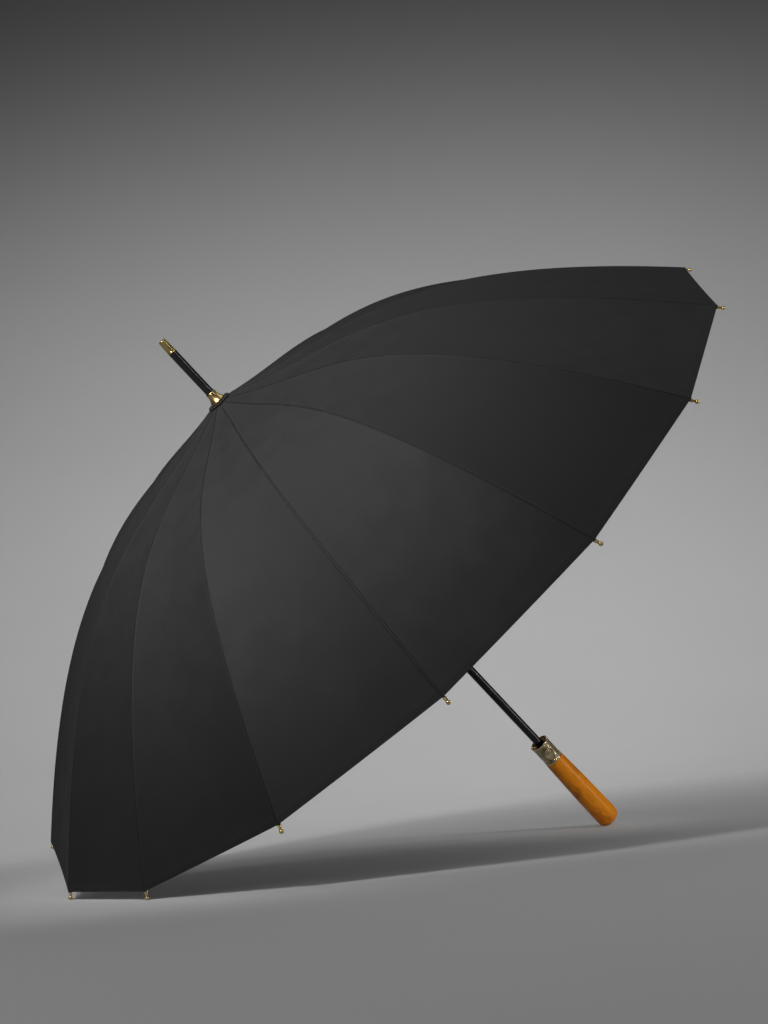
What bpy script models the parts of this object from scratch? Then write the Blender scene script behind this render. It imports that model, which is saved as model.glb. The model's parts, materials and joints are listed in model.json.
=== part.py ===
"""Stick umbrella with sixteen ribs and a straight turned grip, stored open.

The umbrella lies on a level floor, resting on two neighbouring rib tips and the end of its grip.
Every piece is built about the shaft, with heights measured along it from the plane of the hem
corners towards the ferrule, and one empty then leans the whole umbrella into its resting place.
"""

import math

import bmesh
import bpy
from mathutils import Matrix, Vector

# Overall sizes, in metres.
RIB_COUNT = 16
CANOPY_RADIUS = 0.540  # axis to a hem corner
CANOPY_RISE = 0.271  # hem plane up to the crown
CROWN_HANDLE = (0.347, 0.825)  # the seam line's two Bezier handles, as shares of radius and rise
HEM_HANDLE = (0.496, 0.980)
SPIKE_LENGTH = 0.100  # crown up to the ferrule's flat end
COLLAR_DROP = 0.3472  # hem plane down to the collar
COLLAR_LENGTH = 0.0312
GRIP_LENGTH = 0.1236

# Clearances.
GAP = 0.0003  # between pieces that touch
SLIDE_GAP = 0.0004  # between pieces that slide on each other
SLOT_GAP = 0.0003  # on each side of a blade in its slot

# Shaft and what sits on it.
TUBE_RADIUS = 0.0055
TUBE_WALL = 0.0009
TUBE_IN_GRIP = 0.065
CAP_LENGTH = 0.019
CAP_END_RADIUS = 0.0046
CAP_SPIGOT_LENGTH = 0.007
BELL_LENGTH = 0.0146
BELL_TOP_RADIUS = TUBE_RADIUS + 0.0011
BELL_BASE_RADIUS = TUBE_RADIUS + 0.0044
ROSETTE_RADIUS = BELL_BASE_RADIUS + 0.0061
ROSETTE_THICK = 0.0008

# Canopy and frame.
FABRIC = 0.0006
SEAM_GAP = 0.0004  # between neighbouring gores along a seam
GORE_START = 0.0150  # axis to a gore's inner edge
PATH_STEPS = 12
HINGE_RADIUS = 0.0115
RIB_HIGH = 0.0026
RIB_WIDE = 0.0030
TONGUE_WIDE = 0.0016
TONGUE_LENGTH = 0.0065
EYE_RADIUS = 0.0015
TIP_RADIUS = 0.0024
TIP_LENGTH = 0.0090
BRACKET_ARC = 0.270  # along a rib from its hinge to its stretcher's pivot
LUG_WIDE = 0.0014
LUG_LENGTH = 0.0060
LUG_DROP = 0.0048  # rib's middle down to the pivot
NOTCH_HIGH = 0.0060
NOTCH_RADIUS = 0.0140
RUNNER_PIVOT_RADIUS = 0.0125
RUNNER_RADIUS = 0.0148
RUNNER_CROWN_HIGH = 0.0080
SLEEVE_RADIUS = 0.0079
SLEEVE_LENGTH = 0.050
RUNNER_DROP = 0.202  # top hinges down to the runner's pivots, open
TIP_CLOSED_RADIUS = 0.021
STRETCHER_HIGH = 0.0022
STRETCHER_WIDE = 0.0034
STRETCHER_EYE_RADIUS = 0.0016
STRETCHER_TONGUE_WIDE = 0.0018
STRETCHER_TONGUE_LENGTH = 0.0095
FORK_PRONG = 0.0010
FORK_DEPTH = 0.0095

# Opening gear inside the shaft.
PIN_BELOW_PIVOT = 0.030
PIN_WIDE = 0.0020
PIN_HIGH = 0.0040
PISTON_HIGH = 0.0080
SPRING_WIRE = 0.0006  # radius
SPRING_TURNS = 26

# Collar, button and grip.
COLLAR_RADIUS = 0.0132
COLLAR_BEAD = 0.0006
COLLAR_BEAD_LENGTH = 0.0030
CUP_RADIUS = 0.0112  # the collar's open top, round the shaft
CUP_DEPTH = 0.0060
BUTTON_AZIMUTH = math.radians(236)
BUTTON_LONG = 0.0155
BUTTON_WIDE = 0.0100
BUTTON_THICK = 0.0036
BUTTON_PROUD = 0.0009
BUTTON_TRAVEL = 0.0020
BUTTON_SPRING_RADIUS = 0.0024
BUTTON_SPRING_WIRE = 0.0003
BUTTON_SPRING_TURNS = 3
GRIP_TOP_RADIUS = 0.01325
GRIP_END_RADIUS = 0.0155
GRIP_DOME = 0.0120

BLACK_STEEL = ((0.020, 0.020, 0.022), 0.28, 0.9)
BLACK_CLOTH = ((0.022, 0.022, 0.024), 0.80, 0.0)
BLACK_PLASTIC = ((0.025, 0.025, 0.027), 0.40, 0.0)
BRASS = ((0.62, 0.43, 0.16), 0.30, 1.0)
SPRING_STEEL = ((0.45, 0.45, 0.46), 0.35, 1.0)
VARNISHED_WOOD = ((0.52, 0.17, 0.03), 0.25, 0.0)

STEP = 2 * math.pi / RIB_COUNT
BORE_RADIUS = TUBE_RADIUS + GAP
TUBE_INSIDE = TUBE_RADIUS - TUBE_WALL
COLLAR_TOP = -COLLAR_DROP
GRIP_TOP = COLLAR_TOP - COLLAR_LENGTH
GRIP_END = GRIP_TOP - GRIP_LENGTH
TUBE_BOTTOM = GRIP_TOP - TUBE_IN_GRIP
SPIKE_END = CANOPY_RISE + SPIKE_LENGTH
TUBE_TOP = SPIKE_END - CAP_LENGTH
SEAM_DIP = RIB_WIDE / 2 * math.tan(STEP / 2)  # how far straight cloth dips beside a rib's middle
RIB_SINK = FABRIC + GAP + SEAM_DIP + RIB_HIGH / 2


def seam_point(t):
    """A point (radius, height) of the seam line and its outward normal, from crown to hem."""
    ends = [
        Vector((HINGE_RADIUS, CANOPY_RISE - 0.0015)),
        Vector((CROWN_HANDLE[0] * CANOPY_RADIUS, CROWN_HANDLE[1] * CANOPY_RISE)),
        Vector((HEM_HANDLE[0] * CANOPY_RADIUS, HEM_HANDLE[1] * CANOPY_RISE)),
        Vector((CANOPY_RADIUS, 0.0)),
    ]
    u = 1 - t
    point = ends[0] * u**3 + ends[1] * 3 * u * u * t + ends[2] * 3 * u * t * t + ends[3] * t**3
    along = (
        (ends[1] - ends[0]) * 3 * u * u
        + (ends[2] - ends[1]) * 6 * u * t
        + (ends[3] - ends[2]) * 3 * t * t
    ).normalized()
    return point, Vector((-along.y, along.x))


def rib_line():
    """The rib's middle line, a fixed depth under the seam line, as points (radius, height)."""
    line = []
    for i in range(PATH_STEPS + 1):
        point, normal = seam_point(i / PATH_STEPS)
        line.append(point - normal * RIB_SINK)
    return line


def along_line(line, distance):
    """The point and direction at a distance along a line of points, which runs on past its end."""
    for a, b in zip(line, line[1:]):
        length = (b - a).length
        if distance <= length or b == line[-1]:
            return a + (b - a) * (distance / length), (b - a) / length
        distance -= length
    return None


def line_length(line):
    return sum((b - a).length for a, b in zip(line, line[1:]))


def turn_of(vector):
    return math.atan2(vector.y, vector.x)


# The fold, worked out in the plane of one rib: hinge, bracket pivot, runner pivot and their travel.
RIB_LINE = rib_line()
RIB_LENGTH = line_length(RIB_LINE)
HINGE = RIB_LINE[0]
_AT, _ALONG = along_line(RIB_LINE, BRACKET_ARC)
BRACKET = _AT + Vector((_ALONG.y, -_ALONG.x)) * LUG_DROP
RUNNER_OPEN = HINGE.y - RUNNER_DROP
RUNNER_PIVOT = Vector((RUNNER_PIVOT_RADIUS, RUNNER_OPEN))
STRETCHER_LENGTH = (BRACKET - RUNNER_PIVOT).length
_TO_TIP = RIB_LINE[-1] - HINGE
FOLD = math.acos((TIP_CLOSED_RADIUS - HINGE.x) / _TO_TIP.length) + turn_of(_TO_TIP)
_TO_BRACKET = BRACKET - HINGE
_SHUT = turn_of(_TO_BRACKET) - FOLD
BRACKET_CLOSED = HINGE + Vector((math.cos(_SHUT), math.sin(_SHUT))) * _TO_BRACKET.length
_REACH = BRACKET_CLOSED.x - RUNNER_PIVOT_RADIUS
RUNNER_CLOSED = BRACKET_CLOSED.y - math.sqrt(STRETCHER_LENGTH**2 - _REACH**2)
RUNNER_TRAVEL = RUNNER_OPEN - RUNNER_CLOSED
_OPEN_TURN = turn_of(RUNNER_PIVOT - BRACKET)
_CLOSED_TURN = turn_of(Vector((RUNNER_PIVOT_RADIUS, RUNNER_CLOSED)) - BRACKET_CLOSED)
STRETCHER_TURN = (_CLOSED_TURN - _OPEN_TURN) % (2 * math.pi) + FOLD
PIN_OPEN = RUNNER_OPEN - PIN_BELOW_PIVOT
PIN_CLOSED = PIN_OPEN - RUNNER_TRAVEL


def grip_outline():
    """Points (radius, height) down the grip's outer side to the middle of its domed end."""
    points = [(GRIP_TOP_RADIUS - 0.0006, GRIP_TOP - GAP), (GRIP_TOP_RADIUS, GRIP_TOP - GAP - 0.0008)]
    belly = GRIP_END + GRIP_DOME
    for i in range(1, 7):
        share = i / 6
        swell = math.sin(share * math.pi / 2)
        radius = GRIP_TOP_RADIUS + (GRIP_END_RADIUS - GRIP_TOP_RADIUS) * swell
        points.append((radius, GRIP_TOP + (belly - GRIP_TOP) * share))
    for i in range(1, 9):
        turn = i / 8 * math.pi / 2
        radius = GRIP_END_RADIUS * math.cos(turn) ** 0.8 if i < 8 else 0.0
        points.append((radius, belly - GRIP_DOME * math.sin(turn)))
    return points


def lean_angle():
    """The shaft's rise above the floor when two rib tips and the grip's end touch one plane."""
    ahead = along_line(RIB_LINE, RIB_LENGTH + TIP_LENGTH - TIP_RADIUS)[0]
    tip = Vector((-ahead.x * math.cos(STEP / 2), ahead.y))
    low, high = math.radians(15), math.radians(80)
    for _ in range(60):
        lean = (low + high) / 2
        up = Vector((math.cos(lean), math.sin(lean)))
        tip_height = tip.dot(up) - TIP_RADIUS
        grip_height = min(Vector((side * r, z)).dot(up) for r, z in grip_outline() for side in (-1, 1))
        if tip_height > grip_height:
            high = lean
        else:
            low = lean
    return lean


def material(name, look):
    colour, rough, metal = look
    made = bpy.data.materials.new(name)
    made.use_nodes = True
    shader = made.node_tree.nodes["Principled BSDF"]
    shader.inputs["Base Color"].default_value = (*colour, 1.0)
    shader.inputs["Roughness"].default_value = rough
    shader.inputs["Metallic"].default_value = metal
    made.diffuse_color = (*colour, 1.0)
    return made


def place(obj, look, root, location=(0, 0, 0), azimuth=0.0):
    """Puts a piece on the umbrella, at a point about the shaft, turned to its azimuth."""
    bpy.data.collections["stick_umbrella"].objects.link(obj)
    if look is not None and not obj.data.materials:
        obj.data.materials.append(material(obj.name, look))
    obj.parent = root
    obj.rotation_euler = (0, 0, azimuth)
    obj.location = location
    return obj


def mesh_object(name, bm):
    mesh = bpy.data.meshes.new(name)
    bm.normal_update()
    bm.to_mesh(mesh)
    bm.free()
    return bpy.data.objects.new(name, mesh)


def turned(name, outline, steps, looped):
    """A turned piece from its outline (radius, height), which runs down the outer side."""
    mesh = bpy.data.meshes.new(name)
    edges = [(i, i + 1) for i in range(len(outline) - 1)]
    if looped:
        edges.append((len(outline) - 1, 0))
    mesh.from_pydata([(r, 0, z) for r, z in outline], edges, [])
    obj = bpy.data.objects.new(name, mesh)
    screw = obj.modifiers.new("turn", "SCREW")
    screw.angle = 2 * math.pi
    screw.steps = steps
    screw.render_steps = steps
    screw.use_merge_vertices = True
    screw.merge_threshold = 0.00001
    return obj


def as_mesh(obj):
    """The object as a plain mesh, with its modifiers applied and its loose caps welded."""
    bpy.context.view_layer.update()
    graph = bpy.context.evaluated_depsgraph_get()
    mesh = bpy.data.meshes.new_from_object(obj.evaluated_get(graph))
    bm = bmesh.new()
    bm.from_mesh(mesh)
    bmesh.ops.remove_doubles(bm, verts=bm.verts, dist=0.00001)
    bmesh.ops.recalc_face_normals(bm, faces=bm.faces)
    bm.to_mesh(mesh)
    bm.free()
    made = bpy.data.objects.new(obj.name, mesh)
    made.matrix_world = obj.matrix_world
    return made


def cut(obj, cutter, operation="DIFFERENCE"):
    """Cuts a piece with a hidden cutter, or joins the cutter to it."""
    bpy.data.collections["cutters"].objects.link(cutter)
    cutter.hide_render = True
    cutter.display_type = "WIRE"
    cutter.parent = obj
    boolean = obj.modifiers.new("cut", "BOOLEAN")
    boolean.operation = operation
    boolean.solver = "EXACT"
    boolean.object = cutter


def blades(name, inner, outer, wide, low, high):
    """A ring of radial blades, one for each rib, which cuts the slots of a hinge ring."""
    bm = bmesh.new()
    for i in range(RIB_COUNT):
        matrix = (
            Matrix.Rotation(STEP * (i + 0.5), 4, "Z")
            @ Matrix.Translation(((inner + outer) / 2, 0, (low + high) / 2))
            @ Matrix.Diagonal((outer - inner, wide, high - low, 1))
        )
        bmesh.ops.create_cube(bm, size=1, matrix=matrix)
    return mesh_object(name, bm)


def block(name, size, centre):
    bm = bmesh.new()
    matrix = Matrix.Translation(centre) @ Matrix.Diagonal((*size, 1))
    bmesh.ops.create_cube(bm, size=1, matrix=matrix)
    return mesh_object(name, bm)


def oval(name, long, wide, inner, outer):
    """An upright oval bar that points along +X, between two distances from the shaft's axis."""
    bm = bmesh.new()
    matrix = (
        Matrix.Translation(((inner + outer) / 2, 0, 0))
        @ Matrix.Rotation(math.pi / 2, 4, "Y")
        @ Matrix.Diagonal((long, wide, outer - inner, 1))
    )
    bmesh.ops.create_cone(
        bm, cap_ends=True, segments=24, radius1=0.5, radius2=0.5, depth=1, matrix=matrix
    )
    return mesh_object(name, bm)


def coil(name, radius, wire, turns, length, per_turn=8):
    """A round spring about +Z, its wire wholly between height 0 and its length."""
    curve = bpy.data.curves.new(name, "CURVE")
    curve.dimensions = "3D"
    curve.bevel_depth = wire
    curve.bevel_resolution = 0
    curve.use_fill_caps = True
    count = turns * per_turn + 1
    spline = curve.splines.new("POLY")
    spline.points.add(count - 1)
    for i in range(count):
        turn = 2 * math.pi * i / per_turn
        height = wire + (length - 2 * wire) * i / (count - 1)
        spline.points[i].co = (radius * math.cos(turn), radius * math.sin(turn), height, 1)
    return bpy.data.objects.new(name, curve)


def rib_section(wide, up, down, lug_wide, lug):
    """Eight points across a rib: a flat top, its sides, and the lug or ridge under it."""
    half, lug_half = wide / 2, lug_wide / 2
    return [
        (-half, up),
        (-half, -down),
        (-lug_half, -down - 0.0001),
        (-lug_half, -down - lug),
        (lug_half, -down - lug),
        (lug_half, -down - 0.0001),
        (half, -down),
        (half, up),
    ]


def round_section(radius):
    turns = [math.radians(112.5 + 45 * i) for i in range(8)]
    return [(radius * math.cos(a), radius * math.sin(a)) for a in turns]


def rib_stations():
    """Sections along a rib, as (distance from the hinge, section), from its eye to its tip."""
    half = RIB_HIGH / 2
    ridge = 0.0003
    eye = EYE_RADIUS
    body = rib_section(RIB_WIDE, half, half - ridge, RIB_WIDE * 0.6, ridge)
    tongue = rib_section(TONGUE_WIDE, half, half - ridge, TONGUE_WIDE * 0.6, ridge)
    found = [
        (-eye, rib_section(TONGUE_WIDE, eye * 0.3, eye * 0.3, TONGUE_WIDE * 0.6, eye * 0.1)),
        (-eye * 0.7, rib_section(TONGUE_WIDE, half * 0.8, half * 0.7, TONGUE_WIDE * 0.6, ridge)),
        (0.0, rib_section(TONGUE_WIDE, half, eye - ridge, TONGUE_WIDE * 0.6, ridge)),
        (TONGUE_LENGTH, tongue),
        (TONGUE_LENGTH + 0.0025, body),
    ]
    travelled = 0.0
    middle = BRACKET_ARC
    for a, b in zip(RIB_LINE, RIB_LINE[1:]):
        travelled += (b - a).length
        clear = abs(travelled - middle) > LUG_LENGTH
        if travelled > TONGUE_LENGTH + 0.005 and travelled < RIB_LENGTH - 0.002 and clear:
            found.append((travelled, body))
    lug_deep = LUG_DROP + EYE_RADIUS - half + ridge
    for side in (-1, 1):
        found.append((middle + side * LUG_LENGTH, body))
        lug = rib_section(RIB_WIDE, half, half - ridge, LUG_WIDE, ridge)
        found.append((middle + side * LUG_LENGTH * 0.55, lug))
        lug = rib_section(RIB_WIDE, half, half - ridge, LUG_WIDE, lug_deep)
        found.append((middle + side * EYE_RADIUS * 0.8, lug))
    start = RIB_LENGTH + GAP
    found.append((RIB_LENGTH - 0.0015, body))
    found.append((start, round_section(TIP_RADIUS * 0.82)))
    found.append((start + 0.0006, round_section(TIP_RADIUS)))
    for i in range(3):
        turn = math.radians(38 * i)
        ahead = RIB_LENGTH + TIP_LENGTH - TIP_RADIUS * (1 - math.sin(turn))
        found.append((ahead, round_section(TIP_RADIUS * math.cos(turn))))
    return sorted(found, key=lambda item: item[0])


def rib_mesh():
    """One rib about its hinge, in the XZ plane, lofted through its unlike sections."""
    bm = bmesh.new()
    rings = []
    for distance, section in rib_stations():
        at, along = along_line(RIB_LINE, distance)
        up = Vector((-along.y, along.x))
        ring = []
        for across, rise in section:
            point = at + up * rise - HINGE
            ring.append(bm.verts.new((point.x, across, point.y)))
        rings.append(ring)
    for first, second in zip(rings, rings[1:]):
        for i in range(8):
            j = (i + 1) % 8
            bm.faces.new((first[i], second[i], second[j], first[j]))
    bm.faces.new(rings[0])
    bm.faces.new(rings[-1])
    bmesh.ops.recalc_face_normals(bm, faces=bm.faces)
    return mesh_object("rib", bm).data


def gore_mesh():
    """One fabric panel between two ribs, straight across, about the hinge of its first rib."""
    bm = bmesh.new()
    bmesh.ops.create_grid(bm, x_segments=1, y_segments=PATH_STEPS, size=1)
    rows = sorted({round(v.co.y, 6) for v in bm.verts})
    first = seam_point(0)[0].x
    for vert in bm.verts:
        row = rows.index(round(vert.co.y, 6))
        point = seam_point(row / PATH_STEPS)[0]
        if row == 0:
            ahead = seam_point(1 / PATH_STEPS)[0]
            point = point + (ahead - point) * ((GORE_START - first) / (ahead.x - first))
        side = -1 if vert.co.x < 0 else 1
        azimuth = STEP / 2 * (1 + side)
        inward = -side * SEAM_GAP / 2
        x = point.x * math.cos(azimuth) - inward * math.sin(azimuth)
        y = point.x * math.sin(azimuth) + inward * math.cos(azimuth)
        vert.co = (x - HINGE.x, y, point.y - HINGE.y)
    bmesh.ops.recalc_face_normals(bm, faces=bm.faces)
    if sum(face.normal.z for face in bm.faces) < 0:
        bmesh.ops.reverse_faces(bm, faces=bm.faces)
    return mesh_object("gore", bm).data


def stretcher_outline():
    """Corners of a stretcher's plan, from the eye at the runner to the fork at the rib."""
    eye = STRETCHER_EYE_RADIUS
    tongue, half = STRETCHER_TONGUE_WIDE / 2, STRETCHER_WIDE / 2
    gap = LUG_WIDE / 2 + SLOT_GAP
    outer = gap + FORK_PRONG
    end = STRETCHER_LENGTH + eye
    shoulder = STRETCHER_LENGTH - FORK_DEPTH
    side = [
        (-eye, tongue),
        (STRETCHER_TONGUE_LENGTH, tongue),
        (STRETCHER_TONGUE_LENGTH + 0.003, half),
        (shoulder - 0.004, half),
        (shoulder, outer),
        (end, outer),
        (end, gap),
        (shoulder + 0.002, gap),
    ]
    return [(x, -y) for x, y in side] + [(x, y) for x, y in reversed(side)]


def stretcher_curve():
    """One stretcher about its pivot at the rib, lying back along its open direction."""
    curve = bpy.data.curves.new("stretcher", "CURVE")
    curve.dimensions = "2D"
    curve.fill_mode = "BOTH"
    curve.extrude = STRETCHER_HIGH / 2
    corners = stretcher_outline()
    spline = curve.splines.new("POLY")
    spline.points.add(len(corners) - 1)
    for point, (x, y) in zip(spline.points, corners):
        point.co = (x - STRETCHER_LENGTH, y, 0, 1)
    spline.use_cyclic_u = True
    return curve


def build_frame_of(root):
    """The ribs, gores and stretchers, one of each for every rib."""
    rib, gore = rib_mesh(), gore_mesh()
    stretcher = bpy.data.objects.new("stretcher", stretcher_curve())
    bpy.context.scene.collection.objects.link(stretcher)
    bar = as_mesh(stretcher).data
    bpy.data.objects.remove(stretcher)
    for mesh, name, look in (
        (rib, "rib", BLACK_STEEL),
        (gore, "gore", BLACK_CLOTH),
        (bar, "stretcher", BLACK_STEEL),
    ):
        mesh.materials.clear()
        mesh.materials.append(material(name, look))
    lift = turn_of(BRACKET - RUNNER_PIVOT)
    for i in range(RIB_COUNT):
        azimuth = math.pi + STEP * (i - 0.5)
        number = f"{i + 1:02d}"
        around = Matrix.Rotation(azimuth, 3, "Z")
        hinge = around @ Vector((HINGE.x, 0, HINGE.y))
        place(bpy.data.objects.new("rib_" + number, rib), None, root, hinge, azimuth)
        panel = place(bpy.data.objects.new("gore_" + number, gore), None, root, hinge, azimuth)
        skin = panel.modifiers.new("cloth", "SOLIDIFY")
        skin.thickness = FABRIC
        skin.offset = -1
        pivot = around @ Vector((BRACKET.x, 0, BRACKET.y))
        link = place(bpy.data.objects.new("stretcher_" + number, bar), None, root, pivot, azimuth)
        link.rotation_euler = (around @ Matrix.Rotation(-lift, 3, "Y")).to_euler()


def build_shaft(root):
    slot_low = PIN_CLOSED - PIN_HIGH / 2 - 0.001
    slot_high = PIN_OPEN + PIN_HIGH / 2 + 0.001
    outline = [
        (TUBE_RADIUS, TUBE_TOP - GAP),
        (TUBE_RADIUS, TUBE_BOTTOM),
        (TUBE_INSIDE, TUBE_BOTTOM),
        (TUBE_INSIDE, TUBE_TOP - GAP),
    ]
    tube = place(turned("shaft_tube", outline, 24, True), BLACK_STEEL, root)
    wide = PIN_WIDE + 2 * SLOT_GAP
    centre = (TUBE_RADIUS, 0, (slot_low + slot_high) / 2)
    cut(tube, block("slot_cutter", (2 * TUBE_WALL + 0.003, wide, slot_high - slot_low), centre))

    spigot = TUBE_INSIDE - GAP
    outline = [
        (0, SPIKE_END),
        (CAP_END_RADIUS - 0.0005, SPIKE_END),
        (CAP_END_RADIUS, SPIKE_END - 0.0005),
        (TUBE_RADIUS, TUBE_TOP + 0.0005),
        (TUBE_RADIUS - 0.0002, TUBE_TOP),
        (spigot, TUBE_TOP),
        (spigot, TUBE_TOP - CAP_SPIGOT_LENGTH),
        (0, TUBE_TOP - CAP_SPIGOT_LENGTH),
    ]
    place(turned("ferrule_cap", outline, 24, False), BRASS, root)


def build_crown(root):
    start, normal = seam_point(0)
    slope = -normal.x / normal.y
    top_of_cloth = start.y + slope * (BORE_RADIUS - start.x)
    low = top_of_cloth + GAP
    fall = slope * (ROSETTE_RADIUS - BORE_RADIUS)
    outline = [
        (BORE_RADIUS, low + ROSETTE_THICK),
        (ROSETTE_RADIUS, low + ROSETTE_THICK + fall),
        (ROSETTE_RADIUS, low + fall),
        (BORE_RADIUS, low),
    ]
    place(turned("rosette", outline, 32, True), BLACK_CLOTH, root)

    base = low + ROSETTE_THICK + GAP
    rim = base + slope * (BELL_BASE_RADIUS - BORE_RADIUS)
    top = CANOPY_RISE + BELL_LENGTH
    outline = [(BORE_RADIUS, top), (BELL_TOP_RADIUS - 0.0004, top), (BELL_TOP_RADIUS, top - 0.0004)]
    neck = rim + 0.0015
    for i in range(1, 7):
        share = i / 6
        radius = BELL_TOP_RADIUS + (BELL_BASE_RADIUS - BELL_TOP_RADIUS) * share**1.8
        outline.append((radius, top - 0.0004 + (neck - top + 0.0004) * share))
    outline += [(BELL_BASE_RADIUS, rim), (BORE_RADIUS, base)]
    place(turned("crown_bell", outline, 32, True), BRASS, root)

    floor = HINGE.x - EYE_RADIUS - GAP
    roof = seam_point(0)[0].y - FABRIC - 2 * GAP
    outline = [
        (floor, roof),
        (NOTCH_RADIUS, roof - 0.0014),
        (NOTCH_RADIUS, roof - NOTCH_HIGH),
        (BORE_RADIUS, roof - NOTCH_HIGH),
        (BORE_RADIUS, roof),
    ]
    notch = place(turned("top_notch", outline, 32, True), BLACK_PLASTIC, root)
    wide = TONGUE_WIDE + 2 * SLOT_GAP
    reach = NOTCH_RADIUS + 0.002
    cut(notch, blades("notch_slots", floor, reach, wide, roof - NOTCH_HIGH - 0.001, roof + 0.001))


def build_runner(root):
    """The runner about its pivots' plane, with the pin that the opening spring pushes."""
    at = (0, 0, RUNNER_OPEN)
    bore = TUBE_RADIUS + SLIDE_GAP
    floor = RUNNER_PIVOT_RADIUS - math.hypot(STRETCHER_EYE_RADIUS, STRETCHER_HIGH / 2) - GAP
    top, under = RUNNER_CROWN_HIGH / 2, -RUNNER_CROWN_HIGH / 2
    outline = [
        (floor, top),
        (RUNNER_RADIUS - 0.0008, top),
        (RUNNER_RADIUS, top - 0.0008),
        (RUNNER_RADIUS, under),
        (SLEEVE_RADIUS, under - 0.004),
        (SLEEVE_RADIUS, under - SLEEVE_LENGTH + 0.006),
        (SLEEVE_RADIUS + 0.0012, under - SLEEVE_LENGTH + 0.005),
        (SLEEVE_RADIUS + 0.0012, under - SLEEVE_LENGTH),
        (bore, under - SLEEVE_LENGTH),
        (bore, top),
    ]
    runner = place(turned("runner", outline, 32, True), BLACK_PLASTIC, root, at)
    wide = STRETCHER_TONGUE_WIDE + 2 * SLOT_GAP
    reach = RUNNER_RADIUS + 0.002
    cut(runner, blades("runner_slots", floor, reach, wide, under - 0.006, top + 0.001))
    size = (0.006, PIN_WIDE + 2 * GAP, PIN_HIGH + 2 * GAP)
    cut(runner, block("pin_window", size, (SLEEVE_RADIUS, 0, -PIN_BELOW_PIVOT)))

    radius = TUBE_INSIDE - SLIDE_GAP
    outline = [(0, PISTON_HIGH / 2), (radius, PISTON_HIGH / 2), (radius, -PISTON_HIGH / 2), (0, -PISTON_HIGH / 2)]
    pin = place(turned("drive_pin", outline, 16, False), SPRING_STEEL, root, (0, 0, PIN_OPEN))
    length = SLEEVE_RADIUS - GAP
    cut(pin, block("pin_tab", (length, PIN_WIDE, PIN_HIGH), (length / 2, 0, 0)), "UNION")

    low = TUBE_BOTTOM + GAP
    high = PIN_OPEN - PISTON_HIGH / 2 - GAP
    radius = TUBE_INSIDE - GAP - SPRING_WIRE
    spring = coil("opening_spring", radius, SPRING_WIRE, SPRING_TURNS, high - low)
    place(spring, SPRING_STEEL, root, (0, 0, low))


def build_grip(root):
    low, high = GRIP_TOP, COLLAR_TOP
    bead = COLLAR_RADIUS - COLLAR_BEAD
    outline = [(BORE_RADIUS, high - CUP_DEPTH), (CUP_RADIUS - 0.0010, high - CUP_DEPTH)]
    outline += [(CUP_RADIUS, high - CUP_DEPTH + 0.0010), (CUP_RADIUS, high)]
    outline += [(COLLAR_RADIUS - 0.0006, high), (COLLAR_RADIUS, high - 0.0006)]
    outline += [(COLLAR_RADIUS, high - COLLAR_BEAD_LENGTH), (bead, high - COLLAR_BEAD_LENGTH - 0.0006)]
    outline += [(bead, low + COLLAR_BEAD_LENGTH + 0.0006), (COLLAR_RADIUS, low + COLLAR_BEAD_LENGTH)]
    outline += [(COLLAR_RADIUS, low + 0.0006), (COLLAR_RADIUS - 0.0006, low), (BORE_RADIUS, low)]
    collar = place(turned("collar", outline, 28, True), BRASS, root)
    middle = (low + high) / 2
    reach = COLLAR_RADIUS + 0.003
    long, wide = BUTTON_LONG + 2 * SLIDE_GAP, BUTTON_WIDE + 2 * SLIDE_GAP
    pocket = oval("button_pocket", long, wide, TUBE_RADIUS - 0.002, reach)
    cut(collar, pocket)
    pocket.location = (0, 0, middle)
    pocket.rotation_euler = (0, 0, BUTTON_AZIMUTH)

    face = COLLAR_RADIUS + BUTTON_PROUD
    back = face - BUTTON_THICK
    button = oval("release_button", BUTTON_LONG, BUTTON_WIDE, back, face)
    place(button, BRASS, root, (0, 0, middle), BUTTON_AZIMUTH)
    soft = button.modifiers.new("edge", "BEVEL")
    soft.width = 0.0004
    soft.segments = 1
    soft.limit_method = "ANGLE"

    length = back - TUBE_RADIUS - 2 * GAP
    spring = coil("button_spring", BUTTON_SPRING_RADIUS, BUTTON_SPRING_WIRE, BUTTON_SPRING_TURNS, length)
    start = Matrix.Rotation(BUTTON_AZIMUTH, 3, "Z") @ Vector((TUBE_RADIUS + GAP, 0, middle))
    place(spring, SPRING_STEEL, root, start)
    spring.rotation_euler = (
        Matrix.Rotation(BUTTON_AZIMUTH, 3, "Z") @ Matrix.Rotation(math.pi / 2, 3, "Y")
    ).to_euler()

    top = GRIP_TOP - GAP
    well = TUBE_BOTTOM - GAP
    outline = [(0, well), (BORE_RADIUS, well), (BORE_RADIUS, top)] + grip_outline()
    place(turned("handle_grip", outline, 28, False), VARNISHED_WOOD, root)


def lie_down(root):
    """Leans the umbrella onto its three points of rest, the middle of its box's base at zero."""
    root.rotation_euler = (0, lean_angle() - math.pi / 2, 0)
    bpy.context.view_layer.update()
    graph = bpy.context.evaluated_depsgraph_get()
    points = []
    for obj in bpy.data.collections["stick_umbrella"].objects:
        if obj.type == "EMPTY":
            continue
        solid = obj.evaluated_get(graph)
        mesh = solid.to_mesh()
        points += [solid.matrix_world @ v.co for v in mesh.vertices]
        solid.to_mesh_clear()
    low = [min(p[i] for p in points) for i in range(3)]
    high = [max(p[i] for p in points) for i in range(3)]
    root.location = (-(low[0] + high[0]) / 2, -(low[1] + high[1]) / 2, -low[2])


def shade():
    for obj in bpy.data.collections["stick_umbrella"].objects:
        if obj.type == "MESH" and not obj.name.startswith("gore"):
            obj.data.shade_smooth()
            obj.data.set_sharp_from_angle(angle=math.radians(35))


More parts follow.
